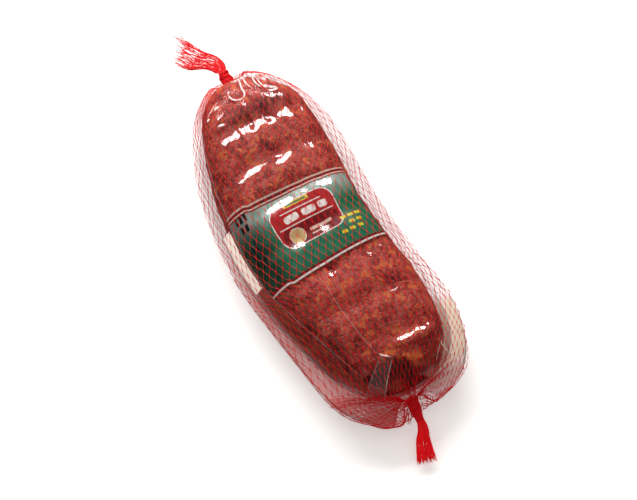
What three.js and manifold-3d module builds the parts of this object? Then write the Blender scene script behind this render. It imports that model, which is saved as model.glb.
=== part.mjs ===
// Netted spianata: a flat, ridged salami sealed in clear film with a wrapped label,
// pulled into a tubular net that is knotted at both ends and frays into a short tail.
//
// Frame: millimetres, +Z up, +X along the salami towards the blunt end, origin in the
// middle of the flat face that the pack rests on.
import * as THREE from "three";
import { mergeVertices } from "three/addons/utils/BufferGeometryUtils.js";
import Module from "manifold-3d";

const wasm = await Module();
wasm.setup();

const { clamp, lerp, mapLinear, smoothstep, degToRad } = THREE.MathUtils;

// The salami inside the film
const MEAT_LENGTH = 322;
const MEAT_WIDTH = 132;
const MEAT_HEIGHT = 62;
const MEAT_PLAN_POWER = 2.7; // how square the salami is seen from above
const MEAT_TOP_POWER = 2.5; // how square the upper half of its section is
const MEAT_BASE_POWER = 3.2; // the side it was pressed on is flatter
const PRESSED_DEPTH = 1.6; // what the flat base takes off the rounded underside

// The film's sealed margin stands out all round, and the net is stretched over it
const NET_WIDTH = 146;
const MARGIN_HEIGHT = 24;
const NEAR = { sign: 1, reach: 182, planPower: 10, planRoot: 0.57, taper: 0.02, cutCorner: 0.14 };
const FAR = { sign: -1, reach: 172, planPower: 3.2, planRoot: 0.557, taper: 0.04, cutCorner: 0.03 };
const BASE_END_POWER = 9; // the end margins hang low, so the underside stays full

// The whole pack is slightly banana-shaped: its middle lies off to -Y, its ends to +Y
const BEND = 12.5;
const BEND_REACH = 150;
const BEND_OFFSET = -7.5;

// Transverse ridges, and the lumps of coarse mince under the film
const RIDGE_PITCH = 37.9;
const RIDGE_START = 62; // a crest
const RIDGE_DEPTH = 3;
const LUMP_DEPTH = 0.8;

// Knots: their place across and over the table, how far they are pulled in, their size
const NEAR_KNOT = { side: -3, height: 20, notch: 13, length: 17, endRadius: 3.6 };
const FAR_KNOT = { side: 5, height: 28, notch: 8, length: 12, endRadius: 3.4 };
const NECK_RADIUS = 5.5;
const NOTCH_RADIUS = 18;

// Pleats where the net is drawn into its knots
const PLEATS = 13;
const PLEAT_DEPTH = 1.5;
const PLEAT_REACH = 26;

// Labels, as angles round the section from the +Y side
const LABEL = { start: -37, end: 38, from: degToRad(24), to: degToRad(162.5), along: 14, round: 22 };
const BACK_LABEL = { start: -33, end: 26, from: degToRad(164), to: degToRad(171), along: 12, round: 3 };
const LABEL_THICKNESS = 0.6;
const GAP = 0.3; // left between touching pieces
const KNOT_GAP = 0.6; // left between the pleated net and a knot

// Tails of loose net: their run from the knot, and their frayed end. `slant` is the share of
// its run by which a tail is shorter at its -Y side.
const NEAR_TAIL = {
  run: 36, turn: degToRad(-19), drop: 15, width: 20, thickness: 7, uneven: 0.1, slant: 0, seed: 5,
};
const FAR_TAIL = {
  run: 56, turn: degToRad(-32), drop: 2, width: 34, thickness: 13, uneven: 0.25, slant: 0.2, seed: 9,
};
const STRANDS = 16;
const STRAND_WIDTH = 1.3;

// Mesh density
const STATIONS = 76;
const ANGLES = 44;
const TANGENT_STEPS = 48;

const roundOff = (t, power) => Math.pow(1 - Math.pow(clamp(Math.abs(t), 0, 1), power), 1 / power);

// Where a straight line from (reach, 0) touches a superellipse: what a tight net does
// between the end of the pack and the rounded salami.
function tangentPoint(half, height, power, reach) {
  let touch = { at: 0, rise: height, slope: 0 };
  for (let i = 1; i < TANGENT_STEPS; i++) {
    const at = half * Math.sin(((i / TANGENT_STEPS) * Math.PI) / 2);
    const rise = height * roundOff(at / half, power);
    const slope = rise / (reach - at);
    if (slope > touch.slope) touch = { at, rise, slope };
  }
  return touch;
}

// Size of the body at x, seen from the side or from above.
function tautProfile(x, half, height, power, reach) {
  const touch = tangentPoint(half, height, power, reach);
  const along = Math.abs(x);
  if (along <= touch.at) return height * roundOff(along / half, power);
  return touch.slope * Math.max(reach - along, 0);
}

// Distance from the section's centre to its surface: the salami's superellipse, and
// from there the net's straight run to the edge of the margin.
function tautRadius(angle, halfWidth, height, power, edge) {
  const c = Math.abs(Math.cos(angle));
  const s = Math.abs(Math.sin(angle));
  const body = Math.pow(Math.pow(c / halfWidth, power) + Math.pow(s / height, power), -1 / power);
  const touch = tangentPoint(halfWidth, height, power, edge);
  if (s * touch.at >= c * touch.rise) return body;
  return Math.max(body, (edge * touch.rise) / (touch.rise * c + (edge - touch.at) * s));
}

// Ridges run across the top and fade towards the ends.
function ridge(x, angle) {
  const wander = 2.5 * Math.sin(2.1 * angle + 0.03 * x);
  const wave = Math.cos((2 * Math.PI * (x + wander - RIDGE_START)) / RIDGE_PITCH);
  return (RIDGE_DEPTH / 2) * wave * (1 - smoothstep(Math.abs(x), 132, 158));
}

function lumps(x, angle) {
  const a = Math.sin(0.27 * x + 5 * angle + 0.6);
  const b = Math.sin(0.19 * x - 7 * angle + 2.1);
  const c = Math.sin(0.36 * x + 3 * angle - 1.3);
  return (LUMP_DEPTH * (a + b + c)) / 3;
}

const sideOf = (x) => (x >= 0 ? { end: NEAR, knot: NEAR_KNOT } : { end: FAR, knot: FAR_KNOT });

// Middle of the section at x.
function centreAt(x) {
  const { end, knot } = sideOf(x);
  const along = Math.abs(x);
  const bent = BEND_OFFSET + BEND * smoothstep(along, 0, BEND_REACH);
  const y = lerp(bent, knot.side, smoothstep(along, end.reach - 14, end.reach));
  const z = lerp(MARGIN_HEIGHT, knot.height, smoothstep(along, end.reach - 45, end.reach));
  return new THREE.Vector3(x, y, z);
}

// A point of the pack. `share` is 1 on the surface and 0 on the centreline, and `sink`
// is how deep the point lies under the surface.
function packPoint(x, angle, share = 1, sink = 0) {
  const { end, knot } = sideOf(x);
  const along = Math.abs(x);
  const t = clamp(along / end.reach, 0, 1);
  const isTop = Math.sin(angle) >= 0;
  const taper = 1 - end.taper * t;
  const planEdge = Math.pow(1 - Math.pow(t, end.planPower), end.planRoot);
  const cut = end.cutCorner * smoothstep(t, 0.5, 0.9) * smoothstep(Math.cos(angle), -0.3, 0.3);
  const edge = Math.max((NET_WIDTH / 2) * planEdge * (1 - cut), NECK_RADIUS);
  const meatHalf = tautProfile(
    x, MEAT_LENGTH / 2, (MEAT_WIDTH / 2) * taper, MEAT_PLAN_POWER, end.reach,
  );
  const halfWidth = Math.max(Math.min(meatHalf, edge * 0.94), NECK_RADIUS * 0.9);
  const meatTop = tautProfile(
    x, MEAT_LENGTH / 2, MEAT_HEIGHT - MARGIN_HEIGHT, MEAT_PLAN_POWER, end.reach,
  );
  const base = (MARGIN_HEIGHT + PRESSED_DEPTH) * Math.sqrt(1 - Math.pow(t, BASE_END_POWER));
  const height = Math.max(isTop ? meatTop : base, NECK_RADIUS);
  let radius = tautRadius(angle, halfWidth, height, isTop ? MEAT_TOP_POWER : MEAT_BASE_POWER, edge);
  const onTop = smoothstep(Math.sin(angle), 0.25, 0.7);
  radius += onTop * (ridge(x, angle) + lumps(x, angle) * (1 - smoothstep(t, 0.85, 1)));
  const gathered = smoothstep(along, end.reach - PLEAT_REACH, end.reach - 4);
  radius *= 1 + (gathered * PLEAT_DEPTH * Math.cos(PLEATS * angle)) / Math.max(edge, height);
  radius = (radius - sink) * share;
  const centre = centreAt(x);
  const y = centre.y + radius * Math.cos(angle);
  const z = Math.max(centre.z + radius * Math.sin(angle), 0);
  const toKnot = Math.hypot(y - knot.side, z - knot.height);
  const pull = knot.notch * gathered * (1 - smoothstep(toKnot, 1.9 * NECK_RADIUS, NOTCH_RADIUS));
  return new THREE.Vector3(x - end.sign * pull, y, z);
}

// Stations are closer together towards both ends.
function stationX(t) {
  const spread = Math.tanh(1.1 * (2 * t - 1)) / Math.tanh(1.1);
  return mapLinear(spread, -1, 1, -FAR.reach, NEAR.reach);
}

// One closed solid from a geometry.
function toSolid(geometry) {
  const bare = geometry.clone();
  bare.deleteAttribute("normal");
  bare.deleteAttribute("uv");
  const merged = mergeVertices(bare, 1e-3);
  return new wasm.Manifold(
    new wasm.Mesh({
      numProp: 3,
      vertProperties: new Float32Array(merged.getAttribute("position").array),
      triVerts: new Uint32Array(merged.index.array),
    }),
  );
}

// The same, with every vertex of the geometry moved first.
function reshape(geometry, move) {
  const position = geometry.getAttribute("position");
  const v = new THREE.Vector3();
  for (let i = 0; i < position.count; i++) {
    v.fromBufferAttribute(position, i);
    const p = move(v);
    position.setXYZ(i, p.x, p.y, p.z);
  }
  return toSolid(geometry);
}

function toMesh(name, solid, material) {
  const { numProp, vertProperties, triVerts } = solid.getMesh();
  const count = vertProperties.length / numProp;
  const points = new Float32Array(count * 3);
  for (let i = 0; i < count; i++) {
    points.set(vertProperties.subarray(i * numProp, i * numProp + 3), i * 3);
  }
  const geometry = new THREE.BufferGeometry();
  geometry.setAttribute("position", new THREE.BufferAttribute(points, 3));
  geometry.setIndex(new THREE.BufferAttribute(triVerts, 1));
  geometry.computeVertexNormals();
  const mesh = new THREE.Mesh(geometry, material);
  mesh.name = name;
  return mesh;
}

// The net with the film and the salami in it, as one body.
function makePack() {
  const tube = new THREE.CylinderGeometry(1, 1, 1, ANGLES, STATIONS);
  return reshape(tube, (v) => {
    const share = Math.min(Math.hypot(v.x, v.z), 1);
    return packPoint(stationX(0.5 + v.y), Math.atan2(v.x, v.z), share);
  });
}

// A curved plate between two depths under the pack's surface. `margin` makes the pocket
// that a label lies in larger than the label.
function makePlate(label, margin, top, bottom) {
  const turn = (2 * margin) / MEAT_WIDTH;
  const box = new THREE.BoxGeometry(1, 1, 1, label.along, label.round, 1);
  return reshape(box, (v) => {
    const x = mapLinear(v.x, -0.5, 0.5, label.start - margin, label.end + margin);
    const angle = mapLinear(v.y, 0.5, -0.5, label.from - turn, label.to + turn);
    return packPoint(x, angle, 1, v.z > 0 ? top : bottom);
  });
}

const makeLabel = (label) => makePlate(label, 0, 0, LABEL_THICKNESS);
const makePocket = (label) => makePlate(label, GAP, -2, LABEL_THICKNESS + GAP);

// A neck of gathered net with a knot of two crossed rolls, along +X from the origin.
function makeKnot({ length, endRadius }) {
  const profile = [
    new THREE.Vector2(0, 0),
    new THREE.Vector2(NECK_RADIUS * 0.9, 0),
    new THREE.Vector2(NECK_RADIUS * 0.75, length * 0.2),
    new THREE.Vector2(NECK_RADIUS * 0.85, length * 0.5),
    new THREE.Vector2(endRadius * 1.1, length * 0.85),
    new THREE.Vector2(endRadius, length),
    new THREE.Vector2(0, length),
  ];
  const neck = toSolid(new THREE.LatheGeometry(profile, 12).rotateZ(-Math.PI / 2));
  const roll = new THREE.TorusGeometry(NECK_RADIUS * 0.72, NECK_RADIUS * 0.38, 6, 12);
  const rolls = [
    { lean: 0.45, share: 0.42 },
    { lean: -0.5, share: 0.6 },
  ];
  return rolls.reduce((knot, { lean, share }) => {
    const turned = roll.clone().rotateY(Math.PI / 2).rotateZ(lean);
    return knot.add(toSolid(turned.translate(length * share, 0, 0)));
  }, neck);
}

// A small repeatable random source.
function seededRandom(seed) {
  let state = seed;
  return () => {
    state = (state * 1664525 + 1013904223) % 4294967296;
    return state / 4294967296;
  };
}

// A bunch of loose net, along +X from the origin: a core, and the strands that fan out
// of it to uneven ends.
function makeTail({ run, turn, drop, width, thickness, uneven, slant, seed }, startRadius) {
  const random = seededRandom(seed);
  const place = (t, side, lift) => {
    const bend = turn * smoothstep(t, 0, 0.5);
    const halfWidth = lerp(startRadius, width / 2, Math.pow(t, 0.8));
    const halfThickness = lerp(startRadius, thickness / 2, t);
    const along = t * run;
    return new THREE.Vector3(
      along * Math.cos(bend) - side * halfWidth * Math.sin(bend),
      along * Math.sin(bend) + side * halfWidth * Math.cos(bend),
      lift * halfThickness - drop * t * (2 - t) * 0.5 - drop * 0.5 * t,
    );
  };
  const cone = new THREE.CylinderGeometry(0.9, 0.9, 1, 12, 4);
  const core = reshape(cone, (v) => place((0.5 + v.y) * 0.5, v.z, v.x));
  const half = STRAND_WIDTH / 2;
  const section = new THREE.Shape([
    new THREE.Vector2(-half, 0),
    new THREE.Vector2(0, -half),
    new THREE.Vector2(half, 0),
    new THREE.Vector2(0, half),
  ]);
  let tail = core;
  for (let i = 0; i < STRANDS; i++) {
    const round = (i / STRANDS) * 2 * Math.PI;
    const side = Math.cos(round) * (0.6 + 0.35 * random());
    const lift = Math.sin(round) * (0.6 + 0.35 * random());
    const stop = (1 - uneven * random()) * (1 - (slant * (1 - Math.cos(round))) / 2);
    const points = Array.from({ length: 5 }, (_, k) => {
      const t = lerp(0.12, stop, k / 4);
      const stray = 0.12 * t * Math.sin(1.7 * k + i);
      return place(t, side * (1 + stray), lift * (1 - stray));
    });
    const extrudePath = new THREE.CatmullRomCurve3(points);
    const strand = new THREE.ExtrudeGeometry(section, { steps: 6, bevelEnabled: false, extrudePath });
    tail = tail.add(toSolid(strand));
  }
  return tail;
}

const finish = (color, roughness) =>
  new THREE.MeshStandardMaterial({ color, roughness, metalness: 0 });
const meatUnderFilm = finish(0x8a3a30, 0.35);
const printedPaper = finish(0x2c6a50, 0.4);
const creamPaper = finish(0xe6dfcc, 0.6);
const netPlastic = finish(0xc8141c, 0.5);

// A knot and its tail, in a group that stands where the pack's net runs out.
function makeEnd(name, { end, knot, tail }) {
  const group = new THREE.Group();
  group.position.set(end.sign * (end.reach - knot.notch + KNOT_GAP), knot.side, knot.height);
  group.scale.set(end.sign, 1, 1);
  group.add(toMesh(`${name}_knot`, makeKnot(knot), netPlastic));
  const loose = toMesh(`${name}_tail`, makeTail(tail, knot.endRadius), netPlastic);
  loose.position.x = knot.length + GAP;
  group.add(loose);
  return group;
}

const group = new THREE.Group();
const salami = makePack().subtract(makePocket(LABEL)).subtract(makePocket(BACK_LABEL));
group.add(toMesh("netted_salami", salami, meatUnderFilm));
group.add(toMesh("front_label", makeLabel(LABEL), printedPaper));
group.add(toMesh("back_label", makeLabel(BACK_LABEL), creamPaper));
group.add(makeEnd("near", { end: NEAR, knot: NEAR_KNOT, tail: NEAR_TAIL }));
group.add(makeEnd("far", { end: FAR, knot: FAR_KNOT, tail: FAR_TAIL }));

export default group;
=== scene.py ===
"""Looks of a spicy spianata salami in film and a knotted red net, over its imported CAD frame."""
import logging
import math
from dataclasses import dataclass, field
from enum import Enum

import bpy
import numpy as np
from bpy.types import Material, Node, NodeSocket, NodeTree, Object
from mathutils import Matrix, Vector
from numpy import ndarray as Array


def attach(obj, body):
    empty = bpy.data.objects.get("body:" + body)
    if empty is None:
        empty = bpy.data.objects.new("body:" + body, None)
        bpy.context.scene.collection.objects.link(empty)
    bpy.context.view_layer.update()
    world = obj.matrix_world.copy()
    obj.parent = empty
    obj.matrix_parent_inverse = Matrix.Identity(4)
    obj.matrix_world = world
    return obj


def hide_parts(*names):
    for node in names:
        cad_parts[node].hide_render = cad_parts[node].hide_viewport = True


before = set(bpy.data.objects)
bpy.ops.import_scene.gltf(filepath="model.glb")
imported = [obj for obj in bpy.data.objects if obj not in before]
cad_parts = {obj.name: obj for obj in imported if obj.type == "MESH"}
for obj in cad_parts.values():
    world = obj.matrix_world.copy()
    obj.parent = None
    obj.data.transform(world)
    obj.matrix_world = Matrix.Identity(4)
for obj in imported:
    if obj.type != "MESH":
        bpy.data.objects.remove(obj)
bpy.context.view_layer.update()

logging.basicConfig(level=logging.INFO, format="%(message)s")
LOG = logging.getLogger("salami")
MM = 0.001
TURN = 2 * math.pi
FILM_PLAN_POWER = 2.95
BASE_POWER = 7
LABEL_THICKNESS = 0.25
CREASE_ANGLE = math.radians(40)


def ease(value: Array, low: float, high: float) -> Array:
    """Eases from 0 at low to 1 at high."""
    share = np.clip((value - low) / (high - low), 0, 1)
    return share * share * (3 - 2 * share)


def between(value: Array, low: float, full: float, last: float, high: float) -> Array:
    """Eases from 0 at low to 1 from full to last, and back to 0 at high."""
    return ease(value, low, full) * (1 - ease(value, last, high))


def round_off(share: Array, power: float) -> Array:
    """Height of a superellipse quadrant of half size 1 at a share of its half width."""
    return (1 - np.clip(np.abs(share), 0, 1) ** power) ** (1 / power)


def tangent_point(half, height, power: float, reach) -> tuple:
    """Finds where a straight line from (reach, 0) touches a superellipse.

    Args:
        half: half widths of the superellipse.
        height: its heights.
        power: its power.
        reach: where the line starts on the half width's axis.

    Returns:
        The place, height and slope of the touch, as arrays.
    """
    half, height, reach = np.broadcast_arrays(half, height, reach)
    place = np.zeros(half.shape)
    rise = height.astype(float).copy()
    steepest = np.zeros(half.shape)
    for step in range(1, 48):
        at = half * math.sin(step / 48 * math.pi / 2)
        up = height * round_off(at / half, power)
        slope = up / (reach - at)
        better = slope > steepest
        place = np.where(better, at, place)
        rise = np.where(better, up, rise)
        steepest = np.where(better, slope, steepest)
    return place, rise, steepest


def taut_profile(along: Array, half: float, height, power, reach: float) -> Array:
    """Height of a rounded body at a distance along it, with a tight straight run to its reach.

    Args:
        along: distances from the middle.
        half: the body's half length.
        height: the body's height in the middle.
        power: the power of its rounding.
        reach: where the tight run ends.

    Returns:
        The heights.
    """
    place, _, slope = tangent_point(half, height, power, reach)
    body = height * round_off(along / half, power)
    return np.where(along <= place, body, slope * np.maximum(reach - along, 0))


def taut_radius(angle, half, height, power: float, edge) -> Array:
    """Radius of a superellipse section with a tight straight run to its edge.

    Args:
        angle: angles round the section from its +Y side.
        half: the section's half widths.
        height: the section's heights.
        power: the power of its rounding.
        edge: how far out the tight run ends.

    Returns:
        The distances from the section's centre.
    """
    level = np.abs(np.cos(angle))
    steep = np.abs(np.sin(angle))
    body = ((level / half) ** power + (steep / height) ** power) ** (-1 / power)
    place, rise, _ = tangent_point(half, height, power, edge)
    run = edge * rise / np.maximum(rise * level + (edge - place) * steep, 1e-6)
    return np.where(steep * place >= level * rise, body, np.maximum(body, run))


def length_along(path: Array) -> Array:
    """Distance of each point of a path from its start, measured along it."""
    return np.concatenate([[0], np.cumsum(np.linalg.norm(np.diff(path, axis=0), axis=-1))])


def walk(path: Array, at: Array) -> Array:
    """Points of a path at distances from its start."""
    length = length_along(path)
    return np.stack([np.interp(at, length, part) for part in path.T], axis=-1)


def soften(path: Array, times: int) -> None:
    """Smooths a path's corners in place and keeps its ends."""
    for _ in range(times):
        path[1:-1] = (path[:-2] + 2 * path[1:-1] + path[2:]) / 4


class LumpField:
    """Smooth repeatable noise in space, for lumps and creases of one size."""

    def __init__(self, size: float, seed: int) -> None:
        """Fills the table that the noise is read from.

        Args:
            size: distance between lumps in mm.
            seed: which pattern it is.
        """
        self.size = size
        self.table = np.random.default_rng(seed).uniform(-1, 1, (32, 32, 32))

    def at(self, points: Array) -> Array:
        """Values from -1 to 1 at points in mm, given with X, Y and Z in the last axis."""
        place = points / self.size
        low = np.floor(place)
        part = place - low
        part = part * part * (3 - 2 * part)
        cell = low.astype(int) % 32
        value = 0.0
        for corner in range(8):
            step = np.array([corner & 1, corner >> 1 & 1, corner >> 2 & 1])
            weight = np.prod(np.where(step, part, 1 - part), axis=-1)
            near = (cell + step) % 32
            value = value + weight * self.table[near[..., 0], near[..., 1], near[..., 2]]
        return value


@dataclass(frozen=True)
class EndForm:
    """How one end of the pack closes, as in the CAD source.

    Attributes:
        sign: 1 for the near end and -1 for the far one.
        reach: distance of the net's end from the middle in mm.
        plan_power: power of the outline's rounding seen from above.
        plan_root: root that goes with it.
        taper: share by which the meat narrows.
        cut_corner: share cut from the +Y corner.
        knot_side: Y of the knot.
        knot_height: Z of the knot.
        notch: depth of the pull round the knot.
        meat_power: power of the meat's own outline.
        meat_taper: share by which the meat's own outline narrows.
        film_reach: distance of the film's end from the middle.
        top_power: power of the top's rounding seen from the side.
    """

    sign: int
    reach: float
    plan_power: float
    plan_root: float
    taper: float
    cut_corner: float
    knot_side: float
    knot_height: float
    notch: float
    meat_power: float
    meat_taper: float
    film_reach: float
    top_power: float


@dataclass(frozen=True)
class PackForm:
    """The pack's driving sizes in mm, repeated from the CAD source, and its surfaces.

    Attributes:
        near: the end with the larger knot.
        far: the other end.
        meat_half: half the salami's length.
        net_body_half: half the width of the net over the salami.
        meat_half_width: half the salami's width.
        top: height of the top over the section's middle.
        base: depth of the net's underside below it.
        meat_base: depth of the salami's underside below it.
        middle: height of the section's middle over the table.
        edge_half: half the width of the flat margin.
        neck: half the thickness of the net where it enters a knot.
        middle_side: Y of the section's middle halfway along.
        bend: how far the ends stand aside from that.
        net_power: powers of the net's section above and below.
        meat_power: powers of the salami's section above and below.
        meat_gap: how deep the salami lies under the net's surface.
        ridge_pitch: distance between two crests.
        ridge_start: X of one crest.
        ridge_depth: depth of the grooves in the salami.
        film_ridge: depth of the grooves in the film.
        coarse: noise for the broad unevenness.
        lumps: noise for the lumps of mince.
        crumbs: noise for the crumbs.
        bulges: X, angle, spread and height of each swelling that takes a highlight.
    """

    near: EndForm = EndForm(
        sign=1, reach=182, plan_power=10, plan_root=0.57, taper=0.02, cut_corner=0.14, knot_side=-3,
        knot_height=20, notch=13, meat_power=2.95, meat_taper=0.02, film_reach=180, top_power=3.0,
    )
    far: EndForm = EndForm(
        sign=-1, reach=172, plan_power=3.2, plan_root=0.557, taper=0.04, cut_corner=0.03, knot_side=5,
        knot_height=28, notch=8, meat_power=3.0, meat_taper=0.07, film_reach=168.5, top_power=4.2,
    )
    meat_half: float = 161
    net_body_half: float = 66
    meat_half_width: float = 60.8
    top: float = 38
    base: float = 25.6
    meat_base: float = 24.4
    middle: float = 24
    edge_half: float = 73
    neck: float = 5.5
    middle_side: float = -7.5
    bend: float = 12.5
    net_power: tuple = (2.5, 3.2)
    meat_power: tuple = (2.9, 3.4)
    meat_gap: float = 1.9
    ridge_pitch: float = 37.9
    ridge_start: float = 62
    ridge_depth: float = 3.3
    film_ridge: float = 2.1
    coarse: LumpField = field(default_factory=lambda: LumpField(13, 4))
    lumps: LumpField = field(default_factory=lambda: LumpField(6.2, 7))
    crumbs: LumpField = field(default_factory=lambda: LumpField(2.9, 12))
    bulges: tuple = (
        (-101, 0.66, 0.13, 0.9), (-101, 1.27, 0.1, 0.75), (-102, 1.75, 0.07, 0.95),
        (-100, 1.87, 0.05, 0.6), (-101, 1.99, 0.05, 0.5), (-101, 2.15, 0.065, 0.85),
        (-64, 0.79, 0.038, 0.6), (-64, 1.35, 0.211, 0.7), (-64, 2.17, 0.234, 0.95),
        (-27, 0.85, 0.097, 0.45), (-27, 1.33, 0.157, 0.6), (-27, 1.92, 0.369, 1.0),
        (11, 1.99, 0.143, 0.95), (11, 1.25, 0.101, 0.7), (50, 0.87, 0.039, 0.7),
        (50, 1.76, 0.08, 0.65), (87, 0.89, 0.06, 0.6),
    )

    def side(self, x: Array, name: str) -> Array:
        """One size of the end that each x belongs to."""
        return np.where(x >= 0, getattr(self.near, name), getattr(self.far, name)).astype(float)

    def centre(self, x: Array) -> tuple[Array, Array]:
        """Y and Z of the middle of the section at x."""
        along = np.abs(x)
        reach = self.side(x, "reach")
        bent = self.middle_side + self.bend * ease(along, 0, 150)
        y = bent + (self.side(x, "knot_side") - bent) * ease(along, reach - 14, reach)
        rise = self.side(x, "knot_height") - self.middle
        return y, self.middle + rise * ease(along, reach - 45, reach)

    def edge(self, x, angle, reach: Array, half: Array | float) -> Array:
        """Half width of the flat margin at x, less the cut corners.

        Args:
            x: places along the pack.
            angle: angles round its section.
            reach: distance of the margin's end from the middle.
            half: its half width in the middle.

        Returns:
            The half widths in mm.
        """
        t = np.clip(np.abs(x) / reach, 0, 1)
        rounded = (1 - t ** self.side(x, "plan_power")) ** self.side(x, "plan_root")
        cut = self.side(x, "cut_corner") * ease(t, 0.5, 0.9)
        return half * rounded * (1 - cut * ease(np.cos(angle), -0.3, 0.3))

    def net_point(self, x: Array, angle: Array, lift: float = 0) -> Array:
        """A point of the stretched net's surface, which spans the ridges at their crests.

        Args:
            x: places along the pack.
            angle: angles round its section.
            lift: distance outside the surface in mm.

        Returns:
            The points in mm.
        """
        along = np.abs(x)
        reach = self.side(x, "reach")
        t = np.clip(along / reach, 0, 1)
        edge = np.maximum(self.edge(x, angle, reach, self.edge_half), self.neck)
        body = self.net_body_half * (1 - self.side(x, "taper") * t)
        plan = taut_profile(along, self.meat_half, body, 2.7, reach)
        half = np.maximum(np.minimum(plan, edge * 0.94), self.neck * 0.9)
        rounding = self.side(x, "top_power")
        top = np.maximum(taut_profile(along, self.meat_half, self.top, rounding, reach), self.neck)
        base = np.maximum(self.base * np.sqrt(1 - t ** np.where(x >= 0, 18, 9)), self.neck)
        is_top = np.sin(angle) >= 0
        upper = taut_radius(angle, half, top, self.net_power[0], edge)
        lower = taut_radius(angle, half, base, self.net_power[1], edge)
        radius = np.where(is_top, upper, lower)
        crest = ease(np.sin(angle), 0.1, 0.7) * (1 - ease(along, 132, 158))
        radius = radius + 1.1 * crest + lift
        gathered = ease(along, reach - 26, reach - 4)
        radius = radius * (1 + gathered * 1.5 * np.cos(13 * angle) / np.maximum(edge, top))
        y0, z0 = self.centre(x)
        y = y0 + radius * np.cos(angle)
        z = np.maximum(z0 + radius * np.sin(angle), 0.32)
        pull = self.pull_in(x, y, z, self.side(x, "notch") * gathered, (1.5 * self.neck, 18))
        z = z + 1.3 * self.lip(x, y) * is_top
        return np.stack([x - pull + self.skirt(x, y), y, z], axis=-1)

    def pull_in(self, x, y, z, depth: Array, fade: tuple[float, float]) -> Array:
        """How far a knot draws the pack in along X, which is little under the near knot.

        Args:
            x: places along the pack.
            y: places across it.
            z: their heights.
            depth: how deep the pull is at the knot.
            fade: distances from the knot where the pull starts to fade and where it ends.

        Returns:
            The distances in mm, with the end's sign.
        """
        height = self.side(x, "knot_height")
        away = np.hypot(y - self.side(x, "knot_side"), z - height)
        under = ease(height - z, 2, 9) * (x > 0)
        pull = depth * (1 - ease(away, *fade)) * (1 - 0.85 * under)
        return self.side(x, "sign") * pull

    def lip(self, x: Array, y: Array) -> Array:
        """Share of the lump that the meat's broken edge makes at the near end's top."""
        across = between(y, 0, 9, 34, 44)
        spot = np.stack([0.5 * x + 0 * y, y + 0 * x, 9 + 0 * x * y], axis=-1)
        ragged = 2.4 * self.coarse.at(spot) + 1.6 * self.lumps.at(spot)
        return across * np.exp(-((x - 130.5 + ragged) / 4.2) ** 2)

    def skirt(self, x: Array, y: Array) -> Array:
        """How far the slack net beside the near knot runs out past the straight end."""
        return 4.0 * ease(x, 160, 178) * between(-y, 2, 14, 36, 58)

    def ridge(self, x: Array, angle: Array, depth: float) -> Array:
        """Relief of the broad ridges that lie across the top, with narrower grooves between.

        Args:
            x: places along the pack.
            angle: angles round its section.
            depth: how deep the grooves are in mm.

        Returns:
            Heights in mm, which are even along the crests.
        """
        wander = 2.0 * np.sin(2.1 * angle + 0.03 * x)
        turn = TURN * (x + wander - self.ridge_start) / self.ridge_pitch
        wave = (np.cos(turn) - 0.25 * np.cos(2 * turn) - 0.75) / 2
        swell = 0.68 + 0.1 * np.sin(5.3 * angle + 0.11 * x)
        for place, turned, spread, amount in self.bulges:
            swell = swell + amount * np.exp(-((x - place) / 15) ** 2 - ((angle - turned) / spread) ** 4)
        calm = np.minimum(swell, 1.62) * (1 - ease(np.abs(x), 128, 160))
        return 0.7 + depth * wave * calm

    def body_point(self, x, angle, inset: float, fair: float, calm: Array | float = 0.0) -> Array:
        """A point of the salami's surface, or of a skin over it.

        Args:
            x: places along the salami.
            angle: angles round its section.
            inset: depth of the skin under the net's surface in mm.
            fair: how far the skin runs out at the salami's foot, and 0 for the salami.
            calm: share of the small relief that the skin smooths away.

        Returns:
            The points in mm.
        """
        along = np.abs(x)
        half_end = self.meat_half - inset * 0.5
        t = np.clip(along / half_end, 0, 1)
        width = (self.meat_half_width + self.meat_gap - inset) * (1 - self.side(x, "meat_taper") * t)
        width = width * (1 - 0.05 * np.exp(-((x + 15) / 62) ** 2) * ease(np.cos(angle), -0.2, 0.5))
        rounding = self.side(x, "top_power")
        top, base = self.top - inset, self.meat_base - inset * 0.3
        above, below = self.meat_power
        if fair > 0:
            ridge, fine, drop, swell = self.film_ridge, 0.6, 0.55, 2.7
            out = half_end + fair
            half = np.maximum(taut_profile(along, half_end, width, FILM_PLAN_POWER, out), 0.6)
            top = np.maximum(taut_profile(along, half_end, top, rounding, out), 0.5)
            base = np.maximum(taut_profile(along, half_end, base, BASE_POWER, out), 0.5)
            foot = half + fair * ease(out - along, 0, 25)
            upper = taut_radius(angle, half, top, above, foot)
            lower = taut_radius(angle, half, base, below, foot)
        else:
            ridge, fine, drop, swell = self.ridge_depth, 1.0, 1.0, 2.4
            power = self.side(x, "meat_power")
            half = np.maximum(width * (1 - t ** power) ** (1 / power), 0.05)
            top = np.maximum(top * round_off(t, rounding), 0.05)
            base = np.maximum(base * round_off(t, BASE_POWER), 0.05)
            level, steep = np.abs(np.cos(angle)), np.abs(np.sin(angle))
            upper = ((level / half) ** above + (steep / top) ** above) ** (-1 / above)
            lower = ((level / half) ** below + (steep / base) ** below) ** (-1 / below)
        radius = np.where(np.sin(angle) >= 0, upper, lower)
        on_top = ease(np.sin(angle), 0.2, 0.7)
        radius = radius + on_top * self.ridge(x, angle, ridge)
        y0, _ = self.centre(x)
        first = np.stack([x, y0 + radius * np.cos(angle), self.middle + radius * np.sin(angle)], axis=-1)
        small = 0.42 * self.lumps.at(first) + 0.2 * self.crumbs.at(first)
        grain = 0.6 * self.coarse.at(first) + fine * small
        rough = (1 - calm) * (1 - 0.85 * ease(along, self.meat_half - 8, self.meat_half + 4))
        radius = radius + rough * grain - drop * self.crag(first)
        radius = radius + swell * on_top * self.lip(first[..., 0], first[..., 1])
        radius = np.maximum(radius, 0.04)
        y = y0 + radius * np.cos(angle)
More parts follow.
